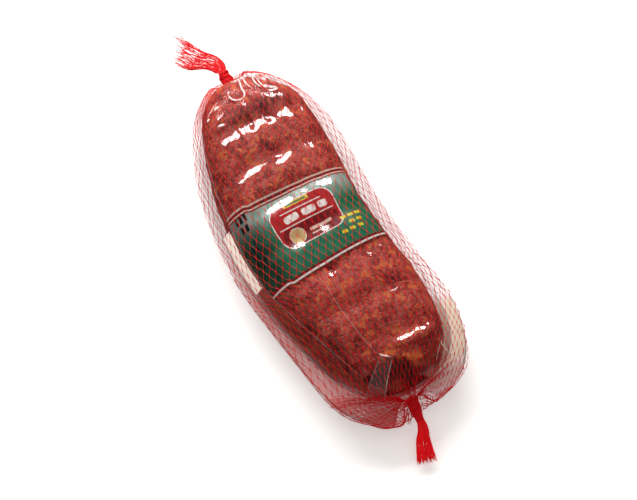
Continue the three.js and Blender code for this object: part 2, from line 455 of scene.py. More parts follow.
        z = np.maximum(self.middle + radius * np.sin(angle), 0.75 - 0.15 * (self.meat_gap - inset))
        return np.stack([x + 0 * y, y, z], axis=-1)

    def crag(self, point: Array) -> Array:
        """Drop of the surface past the broken edge at the near end's top."""
        x, y, z = point[..., 0], point[..., 1], point[..., 2]
        lip = self.broken_edge(y) + 1.6 * self.lumps.at(point * 0.6)
        across = between(y, -26, -12, 26, 40)
        return 4.6 * ease(x - lip, -0.8, 3.4) * across * ease(z, 28, 40)

    def broken_edge(self, y: Array) -> Array:
        """X of the meat's broken edge at the near end's top."""
        return 134 + 13 * ease(y, -7, 16)

    def film_rim(self, x: Array, angle: Array) -> Array:
        """Half width of the film's sealed margin at x."""
        inside = 1.6 - 1.1 * ease(x, -20, 60) * ease(-np.cos(angle), 0, 0.5)
        return self.edge(x, angle, self.side(x, "film_reach"), self.edge_half - inside)


FORM = PackForm()


def select_only(piece: Object) -> None:
    """Leaves one object selected and active."""
    bpy.ops.object.select_all(action="DESELECT")
    piece.select_set(True)
    bpy.context.view_layer.objects.active = piece


def wrap(piece: Object, place) -> None:
    """Moves a flat primitive's vertices onto a surface.

    Args:
        piece: a grid primitive of size 1 about the origin.
        place: gives points in mm for shares along and round.
    """
    count = len(piece.data.vertices)
    flat = np.empty(count * 3, np.float32)
    piece.data.vertices.foreach_get("co", flat)
    flat = flat.reshape(-1, 3) + 0.5
    points = place(flat[:, 0], flat[:, 1]) * MM
    piece.data.vertices.foreach_set("co", points.astype(np.float32).ravel())
    piece.data.update()


def add_sheet(name: str, along: int, round_: int, place) -> Object:
    """Adds a grid primitive and wraps it onto a surface.

    Args:
        name: the piece's name.
        along: number of faces along the pack.
        round_: number of faces round it.
        place: gives points in mm for shares along and round.

    Returns:
        The piece.
    """
    bpy.ops.object.select_all(action="DESELECT")
    bpy.ops.mesh.primitive_grid_add(x_subdivisions=along, y_subdivisions=round_, size=1)
    piece = bpy.context.object
    piece.name = name
    piece.data.name = name
    wrap(piece, place)
    return piece


def close_and_face_out(piece: Object, gap: float = 2e-6) -> None:
    """Merges a wrapped sheet's seams and poles and turns its faces outwards."""
    select_only(piece)
    bpy.ops.object.mode_set(mode="EDIT")
    bpy.ops.mesh.select_all(action="SELECT")
    bpy.ops.mesh.remove_doubles(threshold=gap)
    bpy.ops.mesh.normals_make_consistent(inside=False)
    bpy.ops.object.mode_set(mode="OBJECT")
    bpy.ops.object.shade_smooth()


def thicken(piece: Object) -> None:
    """Gives a sheet the labels' thickness inwards, with crisp edges."""
    select_only(piece)
    modifier = piece.modifiers.new("solidify", "SOLIDIFY")
    modifier.thickness = LABEL_THICKNESS * MM
    modifier.offset = -1
    bpy.ops.object.modifier_apply(modifier=modifier.name)
    bpy.ops.object.shade_smooth_by_angle(angle=CREASE_ANGLE)


def vertex_points(piece: Object) -> Array:
    """A mesh's vertices in mm."""
    flat = np.empty(len(piece.data.vertices) * 3, np.float32)
    piece.data.vertices.foreach_get("co", flat)
    return flat.reshape(-1, 3) / MM


def keep_values(piece: Object, name: str, values: Array) -> None:
    """Stores one number or vector a vertex under a name that materials read."""
    kind = "FLOAT" if values.ndim == 1 else "FLOAT_VECTOR"
    attribute = piece.data.attributes.new(name, kind, "POINT")
    word = "value" if values.ndim == 1 else "vector"
    attribute.data.foreach_set(word, values.astype(np.float32).ravel())


@dataclass
class Thread:
    """One plastic strand.

    Attributes:
        points: its points in mm.
        radius: its half thickness at each, in mm.
        dense: its density at each.
    """

    points: Array
    radius: Array
    dense: Array


def weave(name: str, threads: list[Thread], sides: int = 4) -> Object:
    """Makes round strands of threads, through one curve that is then made a mesh.

    Args:
        name: the piece's name.
        threads: the strands.
        sides: how many sides a strand has.

    Returns:
        The mesh piece, with the threads' density kept on its vertices.
    """
    curve = bpy.data.curves.new(name, "CURVE")
    curve.dimensions = "3D"
    curve.bevel_depth = MM
    curve.bevel_resolution = max(0, sides // 2 - 2)
    for thread in threads:
        spline = curve.splines.new("POLY")
        count = len(thread.points)
        spline.points.add(count - 1)
        homogeneous = np.ones((count, 4), np.float32)
        homogeneous[:, :3] = thread.points * MM
        spline.points.foreach_set("co", homogeneous.ravel())
        radius = thread.radius.astype(np.float32).copy()
        radius[[0, -1]] *= 0.05
        spline.points.foreach_set("radius", radius)
    piece = bpy.data.objects.new(name, curve)
    bpy.context.scene.collection.objects.link(piece)
    select_only(piece)
    bpy.ops.object.convert(target="MESH")
    piece = bpy.context.object
    piece.data.name = name
    total = sum(len(thread.points) for thread in threads)
    ring = len(piece.data.vertices) // total
    dense = np.concatenate([np.repeat(thread.dense, ring) for thread in threads])
    if len(dense) == len(piece.data.vertices):
        keep_values(piece, "dense", dense)
    else:
        LOG.warning("%s: %d vertices for %d values", name, len(piece.data.vertices), len(dense))
    bpy.ops.object.shade_smooth()
    return piece


def hand_over(piece: Object, material: Material, slot: str, *nodes: str) -> None:
    """Gives a finished piece its material, and tells the frame what it rides on and replaces.

    Args:
        piece: the piece.
        material: its material.
        slot: the frame's slot of its finish, which is not used.
        nodes: the nodes that it replaces.
    """
    piece.data.materials.append(material)
    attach(piece, "root")
    if nodes:
        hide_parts(*nodes)
    LOG.info("%s: %d faces", piece.name, len(piece.data.polygons))


class Wiring:
    """Adds and links the nodes of one shader tree."""

    def __init__(self, tree: NodeTree) -> None:
        """Takes the tree to work on."""
        self.tree = tree

    def add(self, kind: str, links: dict | None = None, **values: object) -> Node:
        """Adds a node.

        Args:
            kind: the node's type after ShaderNode.
            links: sockets or values by the node's input names or numbers.
            values: the node's own properties.

        Returns:
            The node.
        """
        node = self.tree.nodes.new("ShaderNode" + kind)
        for key, value in values.items():
            setattr(node, key, value)
        for key, value in (links or {}).items():
            self.feed(node.inputs[key], value)
        return node

    def feed(self, socket: NodeSocket, value: object) -> None:
        """Links an output to a socket, or sets the socket's value."""
        if isinstance(value, NodeSocket):
            self.tree.links.new(value, socket)
        else:
            socket.default_value = value

    def math(self, operation: str, *values: object) -> NodeSocket:
        """Output of a Math node on up to three values."""
        return self.add("Math", dict(enumerate(values)), operation=operation).outputs[0]

    def times(self, first: object, second: object) -> NodeSocket:
        """Product of two values."""
        return self.math("MULTIPLY", first, second)

    def vector(self, operation: str, first: object, second: object) -> NodeSocket:
        """Output of a Vector Math node on two values."""
        key = "Scale" if operation == "SCALE" else 1
        return self.add("VectorMath", {0: first, key: second}, operation=operation).outputs[0]

    def mix(self, share: object, first: object, second: object) -> NodeSocket:
        """Colour between two colours."""
        node = self.add("Mix", {0: share, 6: first, 7: second}, data_type="RGBA")
        return node.outputs[2]

    def blend(self, share: object, first: Node, second: Node) -> Node:
        """Shader between two shaders."""
        return self.add("MixShader", {0: share, 1: first.outputs[0], 2: second.outputs[0]})

    def stored(self, name: str) -> NodeSocket:
        """Number that was kept on the vertices under a name."""
        return self.add("Attribute", attribute_name=name).outputs["Fac"]

    def place(self) -> NodeSocket:
        """Place on the object."""
        return self.add("TexCoord").outputs["Object"]

    def bump(self, height: object, strength: float, distance: float) -> NodeSocket:
        """Normal of a surface with this relief."""
        links = {"Height": height, "Strength": strength, "Distance": distance}
        return self.add("Bump", links).outputs[0]

    def remap(self, value: object, low: float, high: float, to_low: float = 0, to_high: float = 1):
        """Output of a smooth Map Range node."""
        links = {"Value": value, "From Min": low, "From Max": high, "To Min": to_low, "To Max": to_high}
        return self.add("MapRange", links, interpolation_type="SMOOTHSTEP").outputs[0]

    def noise(self, place: object, scale: float, detail: float = 2, rough: float = 0.5):
        """Value of a Noise texture."""
        links = {"Vector": place, "Scale": scale, "Detail": detail, "Roughness": rough}
        return self.add("TexNoise", links).outputs["Fac"]

    def ramp(self, value: object, stops: list[tuple[float, tuple]]) -> NodeSocket:
        """Colour of a ramp with these stops."""
        node = self.add("ValToRGB", {0: value})
        elements = node.color_ramp.elements
        elements[0].position, elements[0].color = stops[0]
        elements[1].position, elements[1].color = stops[-1]
        for position, shade in stops[1:-1]:
            elements.new(position).color = shade
        return node.outputs[0]


def colour(red: float, green: float, blue: float) -> tuple[float, float, float, float]:
    """A linear colour from display values of 0 to 255."""
    parts = [part / 255 for part in (red, green, blue)]
    linear = [part / 12.92 if part <= 0.04045 else ((part + 0.055) / 1.055) ** 2.4 for part in parts]
    return (*linear, 1.0)


def new_group(name: str, inputs: dict, outputs: dict) -> tuple[Wiring, dict, dict]:
    """Starts a shader node group.

    Args:
        name: the group's name.
        inputs: socket types by input name.
        outputs: socket types by output name.

    Returns:
        The group's wiring, its input sockets and its output sockets by name.
    """
    tree = bpy.data.node_groups.new(name, "ShaderNodeTree")
    for label, kind in inputs.items():
        tree.interface.new_socket(label, in_out="INPUT", socket_type="NodeSocket" + kind)
    for label, kind in outputs.items():
        tree.interface.new_socket(label, in_out="OUTPUT", socket_type="NodeSocket" + kind)
    taken = tree.nodes.new("NodeGroupInput")
    given = tree.nodes.new("NodeGroupOutput")
    into = {label: taken.outputs[label] for label in inputs}
    out = {label: given.inputs[label] for label in outputs}
    return Wiring(tree), into, out


def crinkle_group() -> NodeTree:
    """Small creases of tight film, for the film itself and for the labels under it.

    Returns:
        A group that turns a place and a size into a height.
    """
    wiring, into, out = new_group("film_crinkle", {"Place": "Vector", "Scale": "Float"}, {"Height": "Float"})
    links = {"Vector": into["Place"], "Scale": into["Scale"]}
    soft = wiring.add("TexNoise", links | {"Detail": 3.0, "Distortion": 0.6}).outputs["Fac"]
    cells = wiring.add("TexVoronoi", links, feature="SMOOTH_F1").outputs["Distance"]
    wiring.feed(out["Height"], wiring.math("MULTIPLY_ADD", cells, 0.6, soft))
    return wiring.tree


def mince_group() -> NodeTree:
    """Coarse cured mince: grains of their own tone, the gaps between them, and fat.

    Returns:
        A group that turns a place into a tone, gaps, fat, pale cures and a height.
    """
    inputs = {"Place": "Vector", "Grains": "Float"}
    outputs = {"Tone": "Float", "Gap": "Float", "Fat": "Float", "Pale": "Float", "Height": "Float"}
    wiring, into, out = new_group("cured_mince", inputs, outputs)
    bent = wiring.add("TexNoise", {"Vector": into["Place"], "Scale": 170.0, "Detail": 4.0})
    offset = wiring.vector("SUBTRACT", bent.outputs["Color"], (0.5, 0.5, 0.5))
    place = wiring.vector("ADD", into["Place"], wiring.vector("SCALE", offset, 0.011))
    links = {"Vector": place, "Scale": into["Grains"], "Randomness": 1.0}
    grains = wiring.add("TexVoronoi", links)
    own = wiring.add("SeparateColor", {0: grains.outputs["Color"]})
    wide = wiring.noise(into["Place"], 56.0, 4.0, 0.68)
    mid = wiring.noise(place, 150.0, 4.0, 0.7)
    tone = wiring.math("MULTIPLY_ADD", own.outputs[0], 0.16, wiring.times(wide, 0.75))
    tone = wiring.math("MULTIPLY_ADD", mid, 0.62, tone)
    wiring.feed(out["Tone"], wiring.remap(tone, 0.46, 1.02))
    edges = wiring.add("TexVoronoi", links, feature="DISTANCE_TO_EDGE").outputs["Distance"]
    shallow = wiring.remap(edges, 0.0, 0.2, 1.0, 0.0)
    wiring.feed(out["Gap"], wiring.times(shallow, wiring.remap(mid, 0.4, 0.6, 1.0, 0.2)))
    smear = wiring.noise(place, 118.0, 3.0, 0.55)
    wiring.feed(out["Fat"], wiring.remap(wiring.math("MULTIPLY_ADD", wide, 0.25, smear), 0.7, 0.76))
    pale = wiring.noise(wiring.vector("ADD", place, (3.1, 1.7, 0.4)), 98.0, 3.0, 0.6)
    wiring.feed(out["Pale"], wiring.remap(pale, 0.54, 0.68))
    domes = wiring.remap(edges, 0.0, 0.35)
    wiring.feed(out["Height"], wiring.math("MULTIPLY_ADD", mid, 1.4, domes))
    return wiring.tree


def print_box_group() -> NodeTree:
    """A printed box with round corners, as a mask.

    Returns:
        A group that turns a place on the label and a box's sizes in mm into a mask.
    """
    names = ("U", "V", "Centre U", "Centre V", "Half U", "Half V", "Corner", "Turn")
    wiring, into, out = new_group("print_box", {name: "Float" for name in names}, {"Mask": "Float"})
    du = wiring.math("SUBTRACT", into["U"], into["Centre U"])
    dv = wiring.math("SUBTRACT", into["V"], into["Centre V"])
    cosine = wiring.math("COSINE", into["Turn"])
    sine = wiring.math("SINE", into["Turn"])
    across = wiring.math("MULTIPLY_ADD", du, cosine, wiring.times(dv, sine))
    up = wiring.math("SUBTRACT", wiring.times(dv, cosine), wiring.times(du, sine))
    past = []
    for place, half in ((across, "Half U"), (up, "Half V")):
        inner = wiring.math("SUBTRACT", into[half], into["Corner"])
        past.append(wiring.math("SUBTRACT", wiring.math("ABSOLUTE", place), inner))
    outside = [wiring.math("MAXIMUM", part, 0.0) for part in past]
    square = wiring.times(outside[1], outside[1])
    squares = wiring.math("MULTIPLY_ADD", outside[0], outside[0], square)
    inside = wiring.math("MINIMUM", wiring.math("MAXIMUM", past[0], past[1]), 0.0)
    away = wiring.math("ADD", wiring.math("SQRT", squares), inside)
    away = wiring.math("SUBTRACT", away, into["Corner"])
    wiring.feed(out["Mask"], wiring.remap(away, -0.12, 0.12, 1.0, 0.0))
    return wiring.tree


@dataclass
class SharedEffects:
    """The node groups that the finishes use.

    Attributes:
        crinkle: small creases of tight film.
        mince: coarse cured mince.
        print_box: a printed box with round corners.
    """

    crinkle: NodeTree = field(default_factory=crinkle_group)
    mince: NodeTree = field(default_factory=mince_group)
    print_box: NodeTree = field(default_factory=print_box_group)

    def creased(self, wiring: Wiring, place: object, scale: float, strength: float, depth: float):
        """Normal of a surface with small creases.

        Args:
            wiring: the material's wiring.
            place: where the creases are read.
            scale: how fine they are.
            strength: how strong they are.
            depth: how deep they are in metres.

        Returns:
            The normal's socket.
        """
        crinkle = wiring.add("Group", {"Place": place, "Scale": scale}, node_tree=self.crinkle)
        return wiring.bump(crinkle.outputs[0], strength, depth)


def new_material(name: str) -> tuple[Material, Wiring, Node]:
    """Starts a material with an empty node tree.

    Args:
        name: the material's name.

    Returns:
        The material, its wiring and its output node.
    """
    material = bpy.data.materials.new(name)
    material.use_nodes = True
    material.node_tree.nodes.clear()
    wiring = Wiring(material.node_tree)
    return material, wiring, wiring.add("OutputMaterial")


@dataclass(frozen=True)
class MeatFinish:
    """Coarse brick-red cured mince, darker in its gaps, with orange fat specks and painted shade.

    Attributes:
        dark: lean meat at its darkest.
        middle: most of the lean meat.
        light: its lighter parts.
        pale: smeared fat.
        fat: orange pieces of fat.
        speck: small pale flecks, partly of fat and partly painted glints of the film.
        gap: the gaps between lumps, and dark flecks.
        shade: the shaded near end, flank and far valley.
        fat_and_lit_edge: the near end's broken lip, orange partly from fat and partly as a painted highlight
            of its lit edge, and the fatty spot at the far one.
    """

    dark: tuple = colour(88, 12, 9)
    middle: tuple = colour(154, 43, 32)
    light: tuple = colour(202, 92, 74)
    pale: tuple = colour(190, 112, 104)
    fat: tuple = colour(218, 120, 60)
    speck: tuple = colour(216, 150, 136)
    gap: tuple = colour(72, 12, 8)
    shade: tuple = colour(62, 8, 6)
    fat_and_lit_edge: tuple = colour(240, 134, 68)

    def build(self, effects: SharedEffects) -> Material:
        """Makes the material."""
        material, wiring, end = new_material("cured_mince")
        place = wiring.place()
        mince = wiring.add("Group", {"Place": place, "Grains": 215.0}, node_tree=effects.mince)
        stops = [
            (0.08, self.dark),
            (0.45, self.middle),
            (0.95, self.light),
        ]
        body = wiring.ramp(mince.outputs["Tone"], stops)
        pale = wiring.times(mince.outputs["Pale"], 0.66)
        body = wiring.mix(pale, body, self.pale)
        gap = wiring.times(mince.outputs["Gap"], 0.3)
        body = wiring.mix(gap, body, self.gap)
        # The fine light noise and the pale flecks are partly painted glints of the film's fine sparkle.
        fine = wiring.noise(place, 900.0, 2.0, 0.6)
        body = wiring.mix(wiring.remap(fine, 0.48, 0.72, 0.0, 0.42), body, self.light)
        specks = wiring.noise(place, 560.0, 2.0, 0.55)
        body = wiring.mix(wiring.remap(specks, 0.58, 0.72, 0.0, 0.5), body, self.speck)
        body = wiring.mix(wiring.remap(specks, 0.3, 0.42, 0.4, 0.0), body, self.gap)
        fat = wiring.times(mince.outputs["Fat"], 0.7)
        body = wiring.mix(fat, body, self.fat)
        # Painted shade from the vertices darkens the near end, the left flank and the far valley.
        body = wiring.mix(wiring.stored("shade"), body, self.shade)
        # The lip's orange is partly a painted highlight of its lit edge.
        lumpy = wiring.remap(wiring.noise(place, 210.0, 2.0, 0.5), 0.4, 0.58, 0.1, 1.0)
        fat_and_lit_edge = wiring.times(wiring.stored("fat_and_lit_edge"), lumpy)
        body = wiring.mix(fat_and_lit_edge, body, self.fat_and_lit_edge)
        links = {
            "Base Color": body,
            "Roughness": wiring.remap(fine, 0.3, 0.7, 0.5, 0.65),
            "Normal": wiring.bump(mince.outputs["Height"], 0.5, 0.0006),
            "Specular IOR Level": 0.3,
        }
        shader = wiring.add("BsdfPrincipled", links)
        wiring.feed(end.inputs[0], shader.outputs[0])
        return material


@dataclass(frozen=True)
class FilmFinish:
    """Clear tight film, milky where sealed to itself, with painted shade and reflection in its tints, and
    brown streaks on one side.

    Attributes:
        roughness: roughness of its mirror.
        milky: opacity of the milkiest film.
        index: its index of refraction.
        tint: colour of milky film.
        pink_shade: colour of milky film towards the left, a painted red-tinged shade under the net.
        streak_colours: the two colours of the brown streaks beside the salami on its left.
        taupe: colour of the strip beside the cream one, a painted dark band beside the salami.
        cream: colour of the cream corner, a painted pale reflection of the curled film.
    """

    roughness: float = 0.05
    milky: float = 0.75
    index: float = 1.75
    tint: tuple = (0.95, 0.93, 0.92, 1.0)
    pink_shade: tuple = colour(242, 160, 154)
    streak_colours: tuple = (colour(140, 60, 54), colour(182, 106, 74))
    taupe: tuple = colour(204, 178, 158)
    cream: tuple = colour(250, 238, 216)

    def build(self, effects: SharedEffects) -> Material:
        """Makes the material."""
        material, wiring, end = new_material("clear_film")
        place = wiring.place()
        normal = effects.creased(wiring, place, 95.0, 0.28, 0.0005)
        behind = wiring.add("NewGeometry").outputs["Backfacing"]
        index = wiring.math("MULTIPLY_ADD", behind, 1 / self.index - self.index, self.index)
        shine = wiring.add("Fresnel", {"IOR": index, "Normal": normal})
        clear = wiring.add("BsdfTransparent", {"Color": (0.985, 0.985, 0.985, 1)})
        links = {"Color": (1, 1, 1, 1), "Roughness": self.roughness, "Normal": normal}
        gloss = wiring.add("BsdfGlossy", links)
        calm = wiring.math("MULTIPLY_ADD", wiring.stored("dull"), -0.9, 1.0)
        mirror = wiring.times(wiring.math("MINIMUM", shine.outputs[0], 0.22), calm)
        skin = wiring.blend(mirror, clear, gloss)
        cloud = wiring.remap(wiring.noise(place, 55.0, 3.0, 0.6), 0.3, 0.75, 0.45, 1.0)
        milk = wiring.times(wiring.stored("milk"), cloud)
        share = wiring.times(milk, self.milky)
        # The pink tint is painted shade, red from the light through the net.
        tint = wiring.mix(wiring.stored("pink_shade"), self.tint, self.pink_shade)
        along = wiring.vector("MULTIPLY", place, (0.12, 1.0, 1.0))
        streak = wiring.remap(wiring.noise(along, 420.0, 2.0, 0.5), 0.45, 0.65, 0.0, 0.75)
        streak_colours = wiring.mix(streak, *self.streak_colours)
        layers = (
            ("brown_streaks", streak_colours, 0.95),
            ("taupe", self.taupe, 0.8),
            ("cream", self.cream, 0.8),
        )
        for name, shade, opacity in layers:
            amount = wiring.stored(name)
            tint = wiring.mix(amount, tint, shade)
            share = wiring.math("MAXIMUM", share, wiring.times(amount, opacity))
        body = wiring.blend(share, skin, wiring.add("BsdfDiffuse", {"Color": tint}))
        wiring.feed(end.inputs[0], body.outputs[0])
        return material


@dataclass(frozen=True)
class PrintShape:
    """One printed box or disc of the label, in mm along and round it.

    Attributes:
        u: its middle along the pack.
        v: its middle round it.
        half_u: half its size along.
        half_v: half its size round.
        corner: radius of its corners.
        turn: its turn in radians.
        ink: its colour.
    """

    u: float
    v: float
    half_u: float
    half_v: float
    corner: float
    turn: float
    ink: tuple


@dataclass(frozen=True)
class LabelFinish:
    """Green printed band with edge lines, a plain red plaque and bars, under gloss, with painted shade and a
    painted reflection.

    Attributes:
        green: the band's ground.
        painted_shade_green: the ground where the band turns down at its left, darkened as painted shade.
        faded: its lighter patches.
        painted_reflection: its pale far side, a painted reflection.
        red: the plaque.
        dark_red: the plaque's lower half and the edge lines.
        white: outlines and the larger bars.
        beige: edge lines and the smaller bars.
        cream: the disc.
        yellow: the dashes at the side.
        black: the dashes at the left.
    """

    green: tuple = colour(18, 112, 78)
    painted_shade_green: tuple = colour(10, 58, 40)
    faded: tuple = colour(70, 146, 120)
    painted_reflection: tuple = colour(182, 202, 194)
    red: tuple = colour(176, 22, 24)
    dark_red: tuple = colour(122, 8, 14)
    white: tuple = colour(236, 232, 226)
    beige: tuple = colour(222, 196, 178)
    cream: tuple = colour(214, 188, 128)
    yellow: tuple = colour(226, 204, 30)
    black: tuple = colour(10, 16, 14)

    def shapes(self, fold: float) -> list[PrintShape]:
        """The printed shapes from the lowest layer up.

        Args:
            fold: V of the place where the band turns down at its left.

        Returns:
            The shapes.
        """
        whole = 90
        rows = [
            (-38.1, 0, 0.9, whole, 0, 0, self.beige),
            (-36.1, 0, 1.2, whole, 0, 0, self.dark_red),
            (-34.2, 0, 0.7, whole, 0, 0, self.beige),
            (-32.9, 0, 0.6, whole, 0, 0, self.dark_red),
            (36.6, 0, 1.1, whole, 0, 0, self.dark_red),
            (38.5, 0, 0.9, whole, 0, 0, self.white),
            (-5, -6, 20.5, 29.5, 11, 0, self.white),
            (-5, -6, 19.6, 28.6, 10.4, 0, self.red),
            (5.5, -6, 8.4, 26.4, 7, 0, self.dark_red),
            (-16.6, -6, 0.5, 19, 0.3, 0, self.white),
            (-3.9, -6, 0.5, 25.5, 0.3, 0, self.white),
            (-10.2, -17.5, 3.3, 6.6, 2.2, 0.08, self.white),
            (-10.2, -1.5, 3.3, 6.2, 2.2, 0.0, self.white),
            (-10.2, 11.5, 3.3, 4.2, 2.2, -0.06, self.white),
            (6, -20.5, 7.4, 7.4, 7.4, 0, self.white),
            (6, -20.5, 6.8, 6.8, 6.8, 0, self.cream),
            (6, 2, 1.5, 10.5, 1.2, 0, self.beige),
            (10.5, -0.5, 0.7, 8.0, 0.6, 0, self.beige),
            (-22.3, -8, 1.9, 11.5, 0.8, 0, self.yellow),
            (-22.3, -8, 0.9, 9.5, 0.4, 0, self.green),
        ]
        for u, places in ((10.0, (34, 27, 20)), (16.5, (33, 26)), (23.0, (32, 24, 16.5))):
            rows += [(u, v - 0.2 * (u - 16), 1.5, 2.6, 0.6, -0.12, self.yellow) for v in places]
        dashes = (
            (-29.5, 8, 3.2, 1.3), (-29.5, 12.5, 3.2, 1.6), (-29.5, 17, 3.2, 1.1), (-20.5, 9.5, 3.2, 1.5),
            (-20.5, 14.5, 3.2, 1.2), (-2, 10, 6.5, 0.9), (13, 10, 5.0, 0.9), (5, 14, 12.0, 0.7),
            (4, 17.5, 9.0, 0.7),
        )
        rows += [(u, fold - past, half_u, half_v, 0.5, 0, self.black) for u, past, half_u, half_v in dashes]
        return [PrintShape(*row) for row in rows]

    def build(self, effects: SharedEffects, fold: float) -> Material:
        """Makes the material, with its print from the shapes."""
        material, wiring, end = new_material("printed_band")
        spot = wiring.add("Attribute", attribute_name="band").outputs["Vector"]
        parts = wiring.add("SeparateXYZ", {0: spot})
        u, v = parts.outputs[0], parts.outputs[1]
        place = wiring.place()
        # Painted shade: the band is darker where it turns down at its left.
        shade = wiring.remap(v, fold - 10, fold + 12)
        ink = wiring.mix(shade, self.painted_shade_green, self.green)
        tone = wiring.noise(place, 70.0, 3.0, 0.6)
        ink = wiring.mix(wiring.remap(tone, 0.35, 0.8, 0.0, 0.22), ink, self.faded)
        streak = wiring.noise(wiring.vector("MULTIPLY", place, (0.35, 1.0, 1.0)), 130.0, 3.0, 0.6)
        # Painted reflection: the band pales in streaks towards its far edge, and less where it turns down.
        far = wiring.remap(u, -34.0, -6.0, 1.0, 0.0)
        far = wiring.times(far, wiring.remap(v, fold - 16, fold + 4, 0.55, 1.0))
        far = wiring.times(far, wiring.remap(streak, 0.3, 0.6, 0.45, 0.95))
        ink = wiring.mix(far, ink, self.painted_reflection)
        for shape in self.shapes(fold):
            sizes = (u, v, shape.u, shape.v, shape.half_u, shape.half_v, shape.corner, shape.turn)
            box = wiring.add("Group", dict(enumerate(sizes)), node_tree=effects.print_box)
            ink = wiring.mix(box.outputs[0], ink, shape.ink)
        links = {
            "Base Color": ink,
            "Roughness": wiring.remap(tone, 0.3, 0.7, 0.26, 0.36),
            "Normal": effects.creased(wiring, place, 120.0, 0.35, 0.0003),
            "Specular IOR Level": 0.6,
        }
        shader = wiring.add("BsdfPrincipled", links)
        wiring.feed(end.inputs[0], shader.outputs[0])
        return material


@dataclass(frozen=True)
class PaperFinish:
    """Cream coated paper with a faint grain, and a painted glow that lifts its shade.

    Attributes:
        tint: the paper's colour.
        grain: its grain's.
    """

    tint: tuple = colour(255, 248, 234)
    grain: tuple = colour(232, 212, 186)

    def build(self, effects: SharedEffects) -> Material:
        """Makes the material."""
        material, wiring, end = new_material("cream_paper")
        place = wiring.place()
        tone = wiring.noise(place, 260.0, 4.0, 0.6)
        base = wiring.mix(wiring.remap(tone, 0.3, 0.8, 0.0, 0.25), self.tint, self.grain)
        normal = effects.creased(wiring, place, 200.0, 0.3, 0.0002)
        links = {"Base Color": base, "Roughness": 0.45, "Normal": normal}
        # Painted light: the paper glows, which lifts the shade on the strip.
        links.update({"Emission Color": base, "Emission Strength": 0.3})
        shader = wiring.add("BsdfPrincipled", links)
        wiring.feed(end.inputs[0], shader.outputs[0])
        return material


class NetTone(Enum):
    """How deep the net's red is: in the open mesh, gathered in a knot, or loose past it."""

    OPEN = "open"
    GATHERED = "gathered"
    LOOSE = "loose"


@dataclass(frozen=True)
class NetFinish:
    """Red plastic, deep at its joints and lighter in its thin strands, with a painted glow that brightens it.

    Attributes:
        thin: colour of thin strands.
        joint: of joints.
        gathered: of bunched strands.
        deep: between them.
        fleck: of their light spots.
    """

    thin: tuple = colour(208, 28, 32)
    joint: tuple = colour(218, 2, 16)
    gathered: tuple = colour(226, 2, 16)
    deep: tuple = colour(132, 0, 12)
    fleck: tuple = colour(240, 50, 50)

    def build(self, tone: NetTone) -> Material:
        """Makes the material for one depth of red."""
        material, wiring, end = new_material("red_net_" + tone.value)
        place = wiring.place()
        first, full = self.thin, self.joint
        if tone is not NetTone.OPEN:
            first, full = self.deep, self.gathered
        loose = tone is NetTone.LOOSE
        base = wiring.mix(wiring.stored("dense"), first, full)
        fine = wiring.noise(place, 1400.0, 2.0, 0.5)
        base = wiring.mix(wiring.remap(fine, 0.5, 0.8, 0.0, 0.2), base, self.fleck)
        links = {
            "Base Color": base,
            "Roughness": wiring.remap(fine, 0.3, 0.7, 0.26, 0.42),
            "Normal": wiring.bump(fine, 0.3, 0.0001),
            "Specular IOR Level": 0.7 if loose else 0.25,
            # Painted light: the net glows in its own colour, the loose net more.
            "Emission Color": base,
            "Emission Strength": 0.34 if loose else 0.16,
        }
        shader = wiring.add("BsdfPrincipled", links)
        wiring.feed(end.inputs[0], shader.outputs[0])
        return material


@dataclass(frozen=True)
class GlintAndCreaseFinish:
    """Pale glowing lines on clear film: painted highlights of its glints, and its folded edges and seams.

    Attributes:
        tint: colour of the lines.
    """

    tint: tuple = colour(250, 240, 236)

    def build(self) -> Material:
        """Makes the material, as clear as the dense attribute says."""
        material, wiring, end = new_material("film_glint_and_crease")
        place = wiring.place()
        patchy = wiring.remap(wiring.noise(place, 240.0, 2.0, 0.5), 0.3, 0.6, 0.5, 1.0)
        links = {"Base Color": self.tint, "Roughness": 0.22}
        # Painted light: the lines glow.
        links.update({"Emission Color": self.tint, "Emission Strength": 0.4})
        shader = wiring.add("BsdfPrincipled", links)
        clear = wiring.add("BsdfTransparent", {"Color": (1, 1, 1, 1)})
        body = wiring.blend(wiring.times(wiring.stored("dense"), patchy), clear, shader)
        wiring.feed(end.inputs[0], body.outputs[0])
        return material


